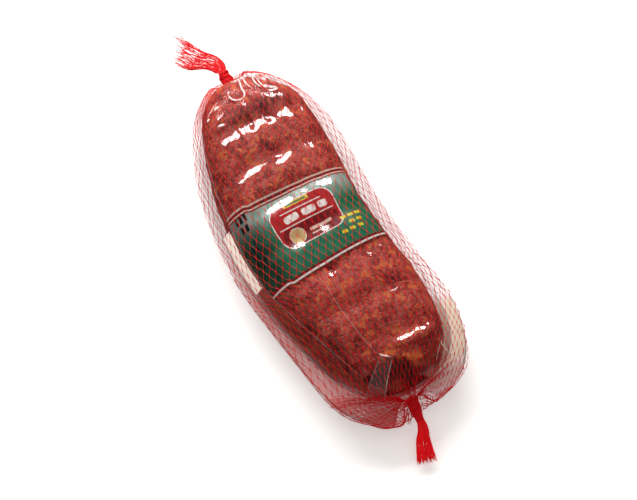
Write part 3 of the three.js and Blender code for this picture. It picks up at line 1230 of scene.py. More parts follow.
@dataclass
class Salami:
    """The cured meat itself, pressed flat below, with ridges and mince relief.

    Attributes:
        along: faces along the salami.
        round_: faces round it.
        inset: depth under the net's surface in mm.
    """

    along: int = 270
    round_: int = 240
    inset: float = 1.9

    def place(self, u: Array, v: Array) -> Array:
        """Points of the surface for shares along and round."""
        half = FORM.meat_half - self.inset * 0.5
        x = half * np.sin((u - 0.5) * math.pi) * 0.62 + half * (2 * u - 1) * 0.38
        return FORM.body_point(x, (v * 2 - 0.5) * math.pi, self.inset, 0)

    def build(self, material: Material) -> Object:
        """Makes the piece."""
        piece = add_sheet("salami_meat", self.along, self.round_, self.place)
        close_and_face_out(piece, 4e-5)
        points = vertex_points(piece)
        x, y, z = points.T
        off = y - FORM.centre(x)[0]
        ragged = 5 * FORM.coarse.at(points * 0.8) + 2.5 * FORM.lumps.at(points)
        broken = FORM.broken_edge(y)
        # Painted shade: the near end past the broken edge, the left flank in patches and the far valley are
        # darkened in colour.
        end = ease(x + 0.7 * ragged - broken, 2, 6)
        end = end * np.clip(0.66 + 0.5 * FORM.coarse.at(points + 50), 0.2, 0.86)
        valley = 0.6 * np.exp(-((x + 117) / 9) ** 2) * between(y, -34, -16, 32, 44)
        patches = np.clip(0.75 + 1.3 * FORM.coarse.at(points * 0.55 + 20), 0.1, 1.5)
        flank = ease(-off, 28, 54) * (0.2 + 0.5 * ease(x, 30, 70)) * patches
        keep_values(piece, "shade", np.clip(np.maximum(end, flank) + valley, 0, 0.86))
        # The broken lip's orange is partly fat and partly a painted highlight where its edge takes the light;
        # the far spot is fat.
        lip = np.exp(-((x + 0.5 * ragged - broken + 0.6) / 3.6) ** 2) * ease(z, 31, 38)
        lip = lip * between(y, -16, -7, 17, 24)
        fatty = 1.4 * np.exp(-((x + 147) / 3) ** 2 - ((y - 28) / 4) ** 2) * (z > 24)
        keep_values(piece, "fat_and_lit_edge", np.clip(1.3 * lip + fatty, 0, 1))
        hand_over(piece, material, "meat", "netted_salami")
        return piece


@dataclass
class VacuumFilm:
    """The clear film: tight over the salami, and sealed to itself in a flat margin.

    Attributes:
        along: faces along the pack.
        over: faces over the top of the salami, and as many as half of it below.
        margin: faces across each layer of each margin.
        inset: depth under the net's surface in mm.
        fair: how far the film runs out at the salami's foot.
        waves: noise for the slack film's waves.
    """

    along: int = 250
    over: int = 150
    margin: int = 8
    inset: float = 0.9
    fair: float = 5.0
    waves: LumpField = field(default_factory=lambda: LumpField(16, 21))

    def ring(self) -> Array:
        """Angle and share across the margin of each point round the section.

        Returns:
            Rows of an angle, a margin share and a side, which is 1 above and -1 below.
        """
        rows = [(math.pi * k / self.over, 0.0, 1) for k in range(self.over + 1)]
        rows += [(math.pi, k / self.margin, 1) for k in range(1, self.margin + 1)]
        rows += [(math.pi, k / self.margin, -1) for k in range(self.margin - 1, 0, -1)]
        below = self.over // 2
        rows += [(math.pi * (1 + k / below), 0.0, -1) for k in range(below + 1)]
        rows += [(0.0, k / self.margin, -1) for k in range(1, self.margin + 1)]
        rows += [(0.0, k / self.margin, 1) for k in range(self.margin - 1, -1, -1)]
        return np.array(rows)

    def place(self, u: Array, v: Array) -> Array:
        """Points of the film for shares along and round."""
        rows = self.ring()
        step = np.rint(v * (len(rows) - 1)).astype(int)
        angle, share, upper = rows[step, 0], rows[step, 1], rows[step, 2]
        t = 2 * u - 1
        even = 0.5 * t + 0.5 * np.sin(t * math.pi / 2)
        x = np.where(even >= 0, even * FORM.near.film_reach, even * FORM.far.film_reach)
        calm = 0.1 + 0.2 * ease(-np.abs(x), -42, -37)
        body = FORM.body_point(x, angle, self.inset, self.fair, calm)
        y0, _ = FORM.centre(x)
        rim = np.maximum(FORM.film_rim(x, angle), 0.4)
        foot = np.abs(body[..., 1] - y0)
        out = np.maximum(foot + (rim - foot) * share, 0.05)
        outward = np.where(np.abs(angle) < 0.01, 1.0, -1.0)
        flat = np.stack([x, y0 + outward * out, body[..., 2]], axis=-1)
        point = np.where((share > 0)[..., None], flat, body)
        excess = np.abs(point[..., 1] - y0) > rim
        point[..., 1] = np.where(excess, y0 + np.sign(point[..., 1] - y0) * rim, point[..., 1])
        depth = (FORM.side(x, "notch") + 1.5) * ease(np.abs(x), 150, 168)
        point[..., 0] -= FORM.pull_in(x, point[..., 1], point[..., 2], depth, (9, 26))
        on_top = (share == 0) * (upper > 0)
        drift = point[..., 1] / 8.5 + 0.9 * self.waves.at(point + 40)
        gather = ease(-x, 126, 138) * on_top * ease(point[..., 2], 26, 34)
        point[..., 2] += 0.3 * gather * np.sin(TURN * drift)
        broad = ease(-x, 120, 134) * on_top * ease(point[..., 2], 22, 32)
        point[..., 2] += broad * (1.5 * FORM.coarse.at(point + 11) - 0.4)
        slack = np.maximum(share, ease(np.abs(x), 160, 168))
        wave = 1.6 * self.waves.at(np.stack([point[..., 0], point[..., 1], 0 * x], axis=-1))
        layer_gap = 0.25 * upper * (share > 0) * (share < 1)
        point[..., 2] += slack * wave + layer_gap
        droop = 11.5 * (1 - 0.5 * ease(point[..., 1], -5, 15))
        point[..., 2] -= droop * ease(point[..., 0], 158, 175) * (point[..., 2] > 12)
        point[..., 0] += FORM.skirt(point[..., 0], point[..., 1])
        return point

    def build(self, material: Material) -> Object:
        """Makes the piece."""
        round_ = len(self.ring()) - 1
        piece = add_sheet("vacuum_film", self.along, round_, self.place)
        close_and_face_out(piece, 1e-5)
        for name, values in self.looks(vertex_points(piece)).items():
            keep_values(piece, name, values)
        hand_over(piece, material, "film")
        return piece

    def looks(self, points: Array) -> dict[str, Array]:
        """Where the film is milky, tinted with painted pink shade, dull, brown in streaks, taupe or cream.

        Args:
            points: the film's vertices in mm.

        Returns:
            A share for each vertex, by the name that the material reads.
        """
        x, across, z = points.T
        y = across - FORM.centre(x)[0]
        t = np.clip(np.abs(x) / (FORM.meat_half - 1), 0, 1)
        meat = FORM.meat_half_width * (1 - FORM.side(x, "meat_taper") * t) * round_off(t, FILM_PLAN_POWER)
        beyond = np.abs(y) - meat
        past = np.maximum(beyond, (np.abs(x) - FORM.meat_half) * 1.2)
        margin = np.where(y > 0, 0.08, 0.3 + 0.7 * ease(x, -50, 40)) + 0.45 * ease(x, 125, 155)
        spots = np.clip(0.3 + 0.9 * self.waves.at(points * 1.6), 0, 0.6)
        near_end = ease(x, 151, 159) * (z > 20) * spots
        start = 151 - np.clip(across - 18, 0, 25)
        pale = ease(-x - start + 2.5 * FORM.lumps.at(points), -1, 4) * ease(across, 0, 7)
        pale = pale * ease(z + 3 * FORM.lumps.at(points * 1.5), 35, 44)
        fatty = np.exp(-((x + 147) / 3) ** 2 - ((across - 28) / 3.5) ** 2)
        ends = np.maximum(near_end, 1.3 * pale * (1 - fatty))
        hollow = 0.6 * np.exp(-((x + 116) / 7) ** 2)
        streak = 2.2 * self.waves.at(points * (0.12, 1.5, 1.5)) + 1.2 * FORM.lumps.at(points * (0.2, 1, 1))
        left = ease(-y, 10, 40) * between(x, -10, 50, 156, 168)
        near_side = 1 - ease(x, 154, 161)
        # Painted light at the near right: the taupe strip is a dark band beside the salami, and the cream
        # corner and margin stand for the curled film's pale reflection.
        strip = ease(x, 90, 112) * near_side * ease(y, 16, 28)
        corner = ease(x, 98, 112) * near_side * ease(beyond, 4, 7) * ease(y, 20, 30)
        low = between(x, 150, 158, 168, 174) * ease(y, 4, 14) * 0.55
        # The pink tint is painted shade on the left, red from the light through the net, and the left margin
        # is milkier to carry it.
        return {
            "pink_shade": np.where(y > 0, 0.3, 1.0) * ease(x, -80, 40),
            "milk": np.maximum(ease(past, 0.5, 6) * np.minimum(margin, 1), ends),
            "dull": np.maximum(ease(-x, 121, 129), hollow) * (z > 20),
            "brown_streaks": left * (1 - ease(past + streak, 1.0, 10.0)) * (past > -2),
            "taupe": strip * between(beyond, -0.5, 1.0, 4, 7),
            "cream": np.maximum(corner, low * (past > 1)),
        }


class Drape:
    """Finds how high a surface's upper side is over places seen from above."""

    def __init__(self, points: Array) -> None:
        """Keeps the surface's points in mm."""
        self.points = points.reshape(-1, 3)

    def over(self, x: Array, y: Array, lift: float) -> Array:
        """Points on the surface over these places, raised by the lift."""
        made = []
        for a, b in zip(np.ravel(x), np.ravel(y)):
            away = (self.points[:, 0] - a) ** 2 + (self.points[:, 1] - b) ** 2
            nearest = np.argpartition(away, 10)[:10]
            made.append((a, b, self.points[nearest, 2].max() + lift))
        return np.array(made)


@dataclass
class FilmGlintsAndCreases:
    """Pale lines on the film: painted highlights, as the hooks at the far end and the glints on the ridges,
    and a long crease, seams and folds at the near end.

    Attributes:
        lines: each line as half thickness, brightness and its places along and across the pack.
    """

    lines: tuple = (
        # The hooks at the far end and the short lines on the ridges are painted highlights; the long faint
        # lines are creases and seams.
        (0.7, 1.0, (
            (-145.6, -4), (-142.4, -6.4), (-137.5, -7), (-133.3, -4.9), (-131.6, -1.2), (-131.7, 3.1),
        )),
        (0.9, 1.0, ((-131.7, 2.6), (-133.6, 6.1), (-138.8, 6.6), (-145.2, 7.5), (-152.2, 9.5))),
        (0.6, 1.0, ((-153.5, 14.1), (-146.7, 12.4), (-141.3, 12.3), (-138.4, 14))),
        (0.7, 1.0, ((-151.2, 18.3), (-148.5, 20.9), (-143.3, 19.8), (-138.6, 19.8), (-134.3, 21.9))),
        (0.5, 0.9, ((-145.8, 23.7), (-140.2, 23.3), (-134.3, 24.3), (-130.7, 25.8))),
        (1.2, 1.0, ((-135.4, 25), (-131.2, 28.2), (-129, 31.1), (-128.4, 34.6))),
        (1.0, 1.0, ((-126.8, 34.9), (-125.8, 31.5), (-126.2, 27.6), (-128.6, 25.5))),
        (0.4, 0.5, ((-133.3, -32), (-136.6, -26), (-139.7, -20.6), (-141, -17.1))),
        (1.3, 1.0, ((-135, -24.4), (-135.4, -21.5), (-136, -19))),
        (1.2, 1.0, ((-118.9, -29.4), (-118.6, -26.2), (-116.9, -23))),
        (0.3, 0.4, ((-135.6, 18.1), (-128.7, 18.1), (-121.6, 18))),
        (0.6, 0.95, ((-102.4, 43.7), (-98.9, 42.9), (-95.9, 42.3))),
        (0.9, 0.95, ((-131, -31), (-130, -34))),
        (0.22, 0.15, ((48, -24), (58, -22), (75, -22), (92, -20.5), (110, -18.5), (129, -14))),
        (0.55, 0.7, ((128.5, -13), (131, -12), (136, -5))),
        (0.9, 0.95, ((49, 24), (50.5, 26.5))),
        (0.7, 0.95, ((49.5, -8.5), (51, -10.5))),
        (0.6, 0.9, ((50, -14), (51, -15.5))),
        (0.6, 0.85, ((45, 36), (47, 38))),
        (0.5, 0.7, ((87, 22), (87.6, 27), (86.4, 31))),
        (0.2, 0.1, ((131, -12), (139, -23), (149.5, -37))),
        (0.24, 0.26, ((136.5, -4), (147, -14), (161, -26))),
        (0.26, 0.42, ((141.5, 41.5), (143, 38.8), (147, 42), (150, 46), (152.8, 51.2))),
        (0.2, 0.2, ((143, 38.5), (148, 34), (154, 28.4))),
        (0.3, 0.06, ((30, -66), (52, -60.5), (76, -54.5), (104, -46), (137, -34))),
        (0.3, 0.12, ((-38, -62.5), (-70, -58.5), (-104, -50), (-128, -40))),
    )

    def build(self, material: Material, film: Drape) -> list[Object]:
        """Makes the lines of painted highlights and creases, and the folded triangle at the near end."""
        threads = []
        for thick, bright, places in self.lines:
            place = np.array(places, float)
            total = length_along(place)[-1]
            at = np.linspace(0, total, max(int(total / 1.3), 5))
            line = walk(place, at)
            soften(line, 2)
            taper = np.sqrt(np.sin(np.linspace(0.12, math.pi - 0.12, len(at))))
            threads.append(Thread(film.over(*line.T, 0.1), thick * taper, bright + 0 * at))
        lines = weave("film_glints_and_creases", threads, 6)
        hand_over(lines, material, "film")
        flap = add_sheet("film_flap", 10, 22, lambda u, v: self.flap_place(u, v, film))
        select_only(flap)
        bpy.ops.object.shade_smooth()
        low = vertex_points(flap)[:, 2]
        keep_values(flap, "dense", 0.012 + 0.022 * ease(low, 12, 40))
        hand_over(flap, material, "film")
        return [lines, flap]

    def flap_place(self, u: Array, v: Array, film: Drape) -> Array:
        """Points of the folded triangle, which spans from the top down to the margin."""
        x = (131 + 5.5 * u) * (1 - v) + (149.5 + 11.5 * u) * v
        y = (-12 + 8 * u) * (1 - v) + (-37 + 11 * u) * v
        return film.over(x, y, 0.5)


@dataclass
class FrontLabel:
    """The printed band over the top, square to the bent pack, with a slack fold at its left.

    Attributes:
        start: its far edge in mm along the pack.
        end: its near edge.
        from_angle: where it starts round the section.
        to_angle: where it ends.
        inset: depth under the net's surface.
        fold_y: Y of the fold on the left.
        slip: how far the left part stands towards the far end.
        fair: how far the skin under the band runs out at the salami's foot.
        calm: share of the small relief that the band smooths away.
    """

    start: float = -39
    end: float = 39.7
    from_angle: float = math.radians(23)
    to_angle: float = math.radians(163.5)
    inset: float = 1.35
    fold_y: float = -45
    slip: float = 2.0
    fair: float = 4.5
    calm: float = 0.8

    def arc(self) -> tuple[Array, Array, Array]:
        """Angles round the middle section, their Y, and the lengths of arc from the top."""
        angle = np.linspace(self.from_angle, self.to_angle, 400)
        point = self.on_body(np.zeros(400), angle)
        length = length_along(point)
        top = np.interp(0, -point[:, 1], length)
        return angle, point[:, 1], top - length

    def fold(self) -> float:
        """V of the fold."""
        _, y, length = self.arc()
        return float(np.interp(-self.fold_y, -y, length))

    def place(self, u: Array, v: Array) -> Array:
        """Points of the band for shares along and round."""
        angle = self.from_angle + v * (self.to_angle - self.from_angle)
        x = self.start + u * (self.end - self.start)
        y = self.on_body(x, angle)[..., 1]
        lean = 0.05 * (y - FORM.middle_side) * x / self.start
        slipped = self.slip * ease(-y, 42.5, 48)
        return self.on_body(x + lean - slipped, angle)

    def on_body(self, x: Array, angle: Array) -> Array:
        """Points of the smoothed skin that the band lies on."""
        return FORM.body_point(x, angle, self.inset, self.fair, self.calm)

    def build(self, material: Material) -> Object:
        """Makes the piece."""
        along, round_ = 70, 130
        piece = add_sheet("label_band", along, round_, self.place)
        angle, _, length = self.arc()
        flat = np.linspace(0, 1, along + 1)
        round_share = np.linspace(0, 1, round_ + 1)
        u = self.start + np.tile(flat, round_ + 1) * (self.end - self.start)
        turn = self.from_angle + np.repeat(round_share, along + 1) * (self.to_angle - self.from_angle)
        v = np.interp(turn, angle, length)
        keep_values(piece, "band", np.stack([u, v, 0 * u], axis=-1))
        thicken(piece)
        hand_over(piece, material, "label_print", "front_label")
        return piece


@dataclass
class BackLabel:
    """The cream edge of the label on the other side, where it shows at the left.

    Attributes:
        start: its far edge in mm along the pack.
        end: its near edge.
        from_angle: where it starts round the section.
        to_angle: where it ends.
        inset: depth under the net's surface.
    """

    start: float = -33
    end: float = 26
    from_angle: float = math.radians(163.2)
    to_angle: float = math.radians(172)
    inset: float = 1.3

    def place(self, u: Array, v: Array) -> Array:
        """Points of the strip for shares along and round."""
        angle = self.from_angle + v * (self.to_angle - self.from_angle)
        x = self.start + u * (self.end - self.start)
        return FORM.net_point(x, angle, -self.inset)

    def build(self, material: Material) -> Object:
        """Makes the piece."""
        piece = add_sheet("label_strip", 60, 12, self.place)
        thicken(piece)
        hand_over(piece, material, "cream_paper", "back_label")
        return piece


@dataclass
class StretchedNet:
    """The knitted tube of red net: strands that meet in pairs at its joints.

    Attributes:
        columns: joints round the pack in one row.
        side: length of a cell's side in mm.
        joint: share of a row that a joint takes, to each side.
        strand: half thickness of a strand.
        apart: half the distance of two strands side by side in a joint.
        thinning: share of a row over which a joint thins out to strands.
        sway: noise for the cells' broad unevenness.
        shake: noise for their small one.
        last_row: number of the last row of joints.
    """

    columns: int = 52
    side: float = 7.5
    joint: float = 0.16
    strand: float = 0.14
    apart: float = 0.22
    sway: LumpField = field(default_factory=lambda: LumpField(24, 31))
    thinning: float = 0.09
    shake: LumpField = field(default_factory=lambda: LumpField(7, 32))
    last_row: int = 0

    def x_samples(self) -> Array:
        """Places along the pack, close together where its ends turn in."""
        part = np.linspace(0, 1, 500)
        near = FORM.near.reach * (1 - (1 - part) ** 2.6) * 0.9999
        far = FORM.far.reach * (1 - (1 - part) ** 2.6) * 0.9999
        return np.concatenate([-far[:0:-1], near])

    def spread(self) -> tuple[Array, Array]:
        """Lengths along the net at the x samples, and the distance round it there."""
        x = self.x_samples()
        angles = np.linspace(0, TURN, 121)
        grid = FORM.net_point(x[:, None] + 0 * angles, angles[None, :] + 0 * x[:, None])
        along = np.linalg.norm(np.diff(grid, axis=0), axis=-1).mean(axis=1)
        round_ = np.linalg.norm(np.diff(grid, axis=1), axis=-1).sum(axis=1)
        return np.concatenate([[0], np.cumsum(along)]), round_

    def rows(self) -> Array:
        """X of each row of joints, from the far knot to the near one."""
        x = self.x_samples()
        length, round_ = self.spread()
        total = length[-1]
        places = [0.6]
        while places[-1] < total - 0.6:
            wide = np.interp(places[-1], length, round_) / (2 * self.columns)
            places.append(places[-1] + math.sqrt(max(self.side ** 2 - wide ** 2, 9)))
        scale = (total - 0.6) / places[-1]
        return np.interp(np.array(places) * scale, length, x)

    def surface(self, rows: Array, fine: int = 8, turns: int = 256) -> Array:
        """Table of points of the net's surface, evenly spread round each section.

        Args:
            rows: X of the rows of joints.
            fine: sections for each row.
            turns: points round a section.

        Returns:
            The points, sections by turns by 3.
        """
        place = np.linspace(0, len(rows) - 1, (len(rows) - 1) * fine + 1)
        x = np.interp(place, np.arange(len(rows)), rows)
        angle = -math.pi / 2 + np.linspace(0, TURN, 721)
        table = np.empty((len(x), turns + 1, 3))
        for k, at in enumerate(x):
            ring = FORM.net_point(np.full(len(angle), at), angle)
            table[k] = walk(ring, np.linspace(0, length_along(ring)[-1], turns + 1))
        return table

    def lay(self, table: Array, row: Array, turn: Array) -> Array:
        """Points of the surface table at rows and turns, between its own points."""
        fine = (table.shape[0] - 1) / self.last_row
        a = np.clip(row * fine, 0, table.shape[0] - 1.001)
        b = (turn % 1.0) * (table.shape[1] - 1)
        i, j = a.astype(int), np.minimum(b.astype(int), table.shape[1] - 2)
        p, q = (a - i)[:, None], (b - j)[:, None]
        low = table[i, j] * (1 - q) + table[i, j + 1] * q
        high = table[i + 1, j] * (1 - q) + table[i + 1, j + 1] * q
        return low * (1 - p) + high * p

    def gather(self, x: Array, turn: Array) -> Array:
        """Bunches the strands into pleats towards the knots."""
        turn = turn - 0.24 * ease(x, 36, 60) * np.sin(TURN * (turn - 0.5)) / TURN
        pleats = (
            (ease(x, 140, 178) * 0.25, TURN * 7, 0.7),
            (ease(-x, 138, 168) * 0.5, TURN * 6, 0.2),
        )
        return turn - sum(share * np.sin(often * turn + phase) / often for share, often, phase in pleats)

    def threads(self) -> list[Thread]:
        """All the strands of the tube."""
        rows = self.rows()
        self.last_row = len(rows) - 1
        table = self.surface(rows)
        round_ = np.linalg.norm(np.diff(table, axis=1), axis=-1).sum(axis=1)
        steps = np.arange(len(rows))
        made = []
        places = np.arange(len(rows) * 4) // 4
        thin = self.joint + self.thinning
        within = np.tile([-self.joint, self.joint, thin, 1 - thin], len(rows))
        kind = np.tile([1.0, 1.0, 0.0, 0.0], len(rows))
        row = places + within
        keep = (row >= 0) & (row <= self.last_row)
        row, kind, places, within = row[keep], kind[keep], places[keep], within[keep]
        x = np.interp(row, steps, rows)
        fine_rows = np.arange(len(round_)) / (len(round_) - 1) * self.last_row
        girth = np.interp(row, fine_rows, round_)
        drift = 0.12 * x / np.interp(row, fine_rows, np.maximum(round_, 200))
        for column in range(self.columns):
            for sign in (1, -1):
                odd_here = (places % 2) * 0.5
                odd_next = ((places + 1) % 2) * 0.5
                share = np.clip((within - self.joint) / (1 - 2 * self.joint), 0, 1)
                step = odd_here + (odd_next - odd_here) * share
                turn = (column + sign * step) / self.columns + drift
                toward = np.where(places % 2 == 0, 1, -1)
                beside = np.where(within <= self.joint + 1e-6, toward, toward * (1 - 2 * share))
                turn = turn + sign * beside * self.apart / girth
                turn = self.gather(x, turn)
                base = self.lay(table, row, turn)
                y = base[:, 1]
                tilt = (0.07 + 0.1 * ease(np.abs(x), 30, 70)) * (1 - ease(np.abs(x), 105, 150))
                moved = row + tilt * (y + 3) / 6.6
                loose = self.sway.at(base) * 0.16 + self.shake.at(base) * 0.07
                calm = 1 - ease(np.abs(x), 120, 165)
                moved = np.clip(moved + loose * calm, 0, self.last_row)
                stray = (self.sway.at(base + 80) * 1.2 + self.shake.at(base + 60) * 0.45) * calm
                point = self.lay(table, moved, turn + stray / girth)
                radius = self.strand + (0.07 + 0.05 * ease(x, -20, 60)) * kind
                made.append(Thread(point, radius + 0 * row, kind))
        return made

    def bands(self) -> list[Thread]:
        """Strands gathered in the folds that run from the near knot to both corners."""
        table = self.surface(self.rows(), 6, 200)
        net = Drape(table[table.shape[0] // 2:])
        random = np.random.default_rng(17)
        made = []
        folds = (
            (((169, -6), (163, -20), (153, -37), (143, -54), (133, -69)), 26, 3.6),
            (((169, 0), (166, 16), (162, 33), (158, 49)), 24, 3.6),
            (((170, -4), (172, -14), (175, -24), (176, -33)), 7, 3.0),
            (((168, -3), (156, -4), (147, -12)), 6, 3.5),
            (((168, -1), (158, 6), (150, 16)), 6, 3.5),
        )
        for path, count, spread in folds:
            place = np.array(path, float)
            share = np.linspace(0, 1, 22)
            x, y = walk(place, share * length_along(place)[-1]).T
            for _ in range(count):
                off = random.normal(0, spread) * share ** 0.8
                wave = random.uniform(-0.8, 0.8) * np.sin(random.uniform(5, 9) * share + random.uniform(0, 6))
                last = random.integers(14, 23)
                point = net.over(x + off + wave * 0.6, y - off * 0.4 + wave * 0.3, 0.15)
                point[:, 2] += random.uniform(-0.2, 0.5)
                size = 0.16 * (1 - 0.35 * share)
                made.append(Thread(point[:last], size[:last], np.full(len(point[:last]), 0.5)))
        return made + self.fan(net, random) + self.hem(table, random)

    def fan(self, net: Drape, random: np.random.Generator) -> list[Thread]:
        """Strands of the slack net that spread from the near knot to the pack's rounded edge."""
        rim = [(133, -70), (142, -67), (152, -61), (162, -53), (171, -44), (178, -34), (183, -22), (185, -10)]
        rim = np.array(rim, float)
        total = length_along(rim)[-1]
        root = (169.5, -5)
        count = 46
        made = []
        share = np.linspace(0, 1, 40)
        for k in range(count):
            at = (k + random.uniform(-0.4, 0.4)) / count * total
            away = walk(rim, np.array([at]))[0] - root
            wave = random.uniform(0.2, 0.9) * np.sin(random.uniform(5, 11) * share + random.uniform(0, 6))
            sag = random.uniform(-2, 2) * np.sin(math.pi * share)
            long = np.hypot(*away)
            aside = (wave + sag) / long * share ** 0.5
            x = root[0] + away[0] * share + aside * away[1]
            y = root[1] + away[1] * share - aside * away[0]
            point = net.over(x, y, 0.2)
            beat = long * share / 6.5 + (k % 2) * 0.5
            knots = np.exp(-((beat - np.rint(beat)) / 0.16) ** 2)
            made.append(Thread(point, 0.11 + 0.2 * knots, 0.3 + 0.6 * knots))
        return made

    def hem(self, table: Array, random: np.random.Generator) -> list[Thread]:
        """Strands drawn together along the fold where the net turns under the pack's left edge."""
        points = table[int(table.shape[0] * 0.45):].reshape(-1, 3)
        made = []
        for _ in range(6):
            path = []
            for turn in np.linspace(0.0, 1.42, 70):
                way = np.array([0.938 * math.sin(turn), -0.979 * math.cos(turn),
                                -0.204 * math.cos(turn) - 0.346 * math.sin(turn)])
                path.append(points[np.argmax(points @ way)] + 0.15 * way)
            path = np.array(path)
            at = np.linspace(0, length_along(path)[-1], 90)
            smooth = walk(path, at)
            soften(smooth, 3)
            phase = random.uniform(0, 6)
            smooth[:, 1] += 0.45 * np.sin(at / 6 + phase)
            smooth[:, 2] = np.maximum(smooth[:, 2] + 0.8 * np.cos(at / 7 + 2 * phase), 0.4)
            made.append(Thread(smooth, np.full(90, 0.16), np.full(90, 0.6)))
        return made

    def build(self, material: Material, gathered: Material) -> list[Object]:
        """Makes the open net and its gathered folds."""
        piece = weave("stretched_net", self.threads())
        hand_over(piece, material, "net", "netted_salami")
        folds = weave("net_folds", self.bands())
        hand_over(folds, gathered, "net")
        return [piece, folds]


@dataclass
class NetKnot:
    """The net twisted together and tied at one end of the pack.

    Attributes:
        name: near or far.
        end: the end's form.
        length: length of the knot in mm.
        end_radius: half its thickness where the tail starts.
        ties: lean, share of the length and thickness of each turn that ties it.
        lean: how far its outer end stands aside, in mm along X, Y and Z.
        strands: how many strands show on it.
        bright: how bright its darkest strands are.
    """

    name: str
    end: EndForm
    length: float
    end_radius: float
    ties: tuple
    lean: tuple = (0, 0, 0)
    strands: int = 30
    bright: float = 0.55

    def radius(self, share: Array) -> Array:
        """Half thickness of the knot at shares of its length."""
        neck = FORM.neck
        places = [0, 0.2, 0.5, 0.85, 1]
        sizes = [neck, neck * 0.9, neck * 0.88, self.end_radius * 1.05, self.end_radius]
        return np.interp(share, places, sizes)

    def to_pack(self, point: Array) -> Array:
        """Moves points along +X from the knot's foot to its place on the pack."""
        foot = self.end.sign * (self.end.reach - self.end.notch + 0.3)
        moved = point * np.array([self.end.sign, 1, 1])
        away = np.clip(point[..., :1], 0, self.length) / self.length
        return moved + np.array([foot, self.end.knot_side, self.end.knot_height]) + away * np.array(self.lean)

    def wraps(self) -> list[Thread]:
        """The turns that tie the knot, as bundles of strands wound round it."""
        made = []
        for lean, share, size in self.ties:
            phase = 3 * share
            for k in range(9):
                cross = TURN * k / 9
                turn = np.linspace(0, TURN, 29)
                thick = FORM.neck * size
                wind = cross + 1.5 * turn
                ring = FORM.neck * 0.72 + thick * np.cos(wind)
                x = thick * np.sin(wind)
                y = ring * np.cos(turn + phase)
                z = ring * np.sin(turn + phase)
                tilt_x = x * math.cos(lean) - y * math.sin(lean) + self.length * share
                tilt_y = x * math.sin(lean) + y * math.cos(lean)
                point = self.to_pack(np.stack([tilt_x, tilt_y, z], axis=-1))
                made.append(Thread(point, np.full(29, 0.5), np.full(29, self.bright + 0.2 * (k % 3))))
        return made

    def build(self, material: Material) -> Object:
        """Makes the piece."""
        made = self.wraps()
        share = np.linspace(-0.2, 1.1, 15)
        for k in range(self.strands):
            turn = TURN * k / self.strands + 1.3 * share
            reach = self.radius(np.clip(share, 0, 1)) * (0.9 + 0.08 * (k % 3 - 1))
            point = np.stack([share * self.length, reach * np.cos(turn), reach * np.sin(turn)], axis=-1)
            tone = self.bright + 0.25 * (k % 3)
            made.append(Thread(self.to_pack(point), np.full(15, 0.42), np.full(15, tone)))
        core_share = np.linspace(-0.15, 1.1, 11)
        core = np.stack([core_share * self.length, 0 * core_share, 0 * core_share], axis=-1)
        size = self.radius(np.clip(core_share, 0, 1)) * 0.86
        made.append(Thread(self.to_pack(core), size, np.ones(11)))
        piece = weave(self.name + "_knot_twist", made, 6)
        hand_over(piece, material, "net", self.name + "_knot")
        return piece


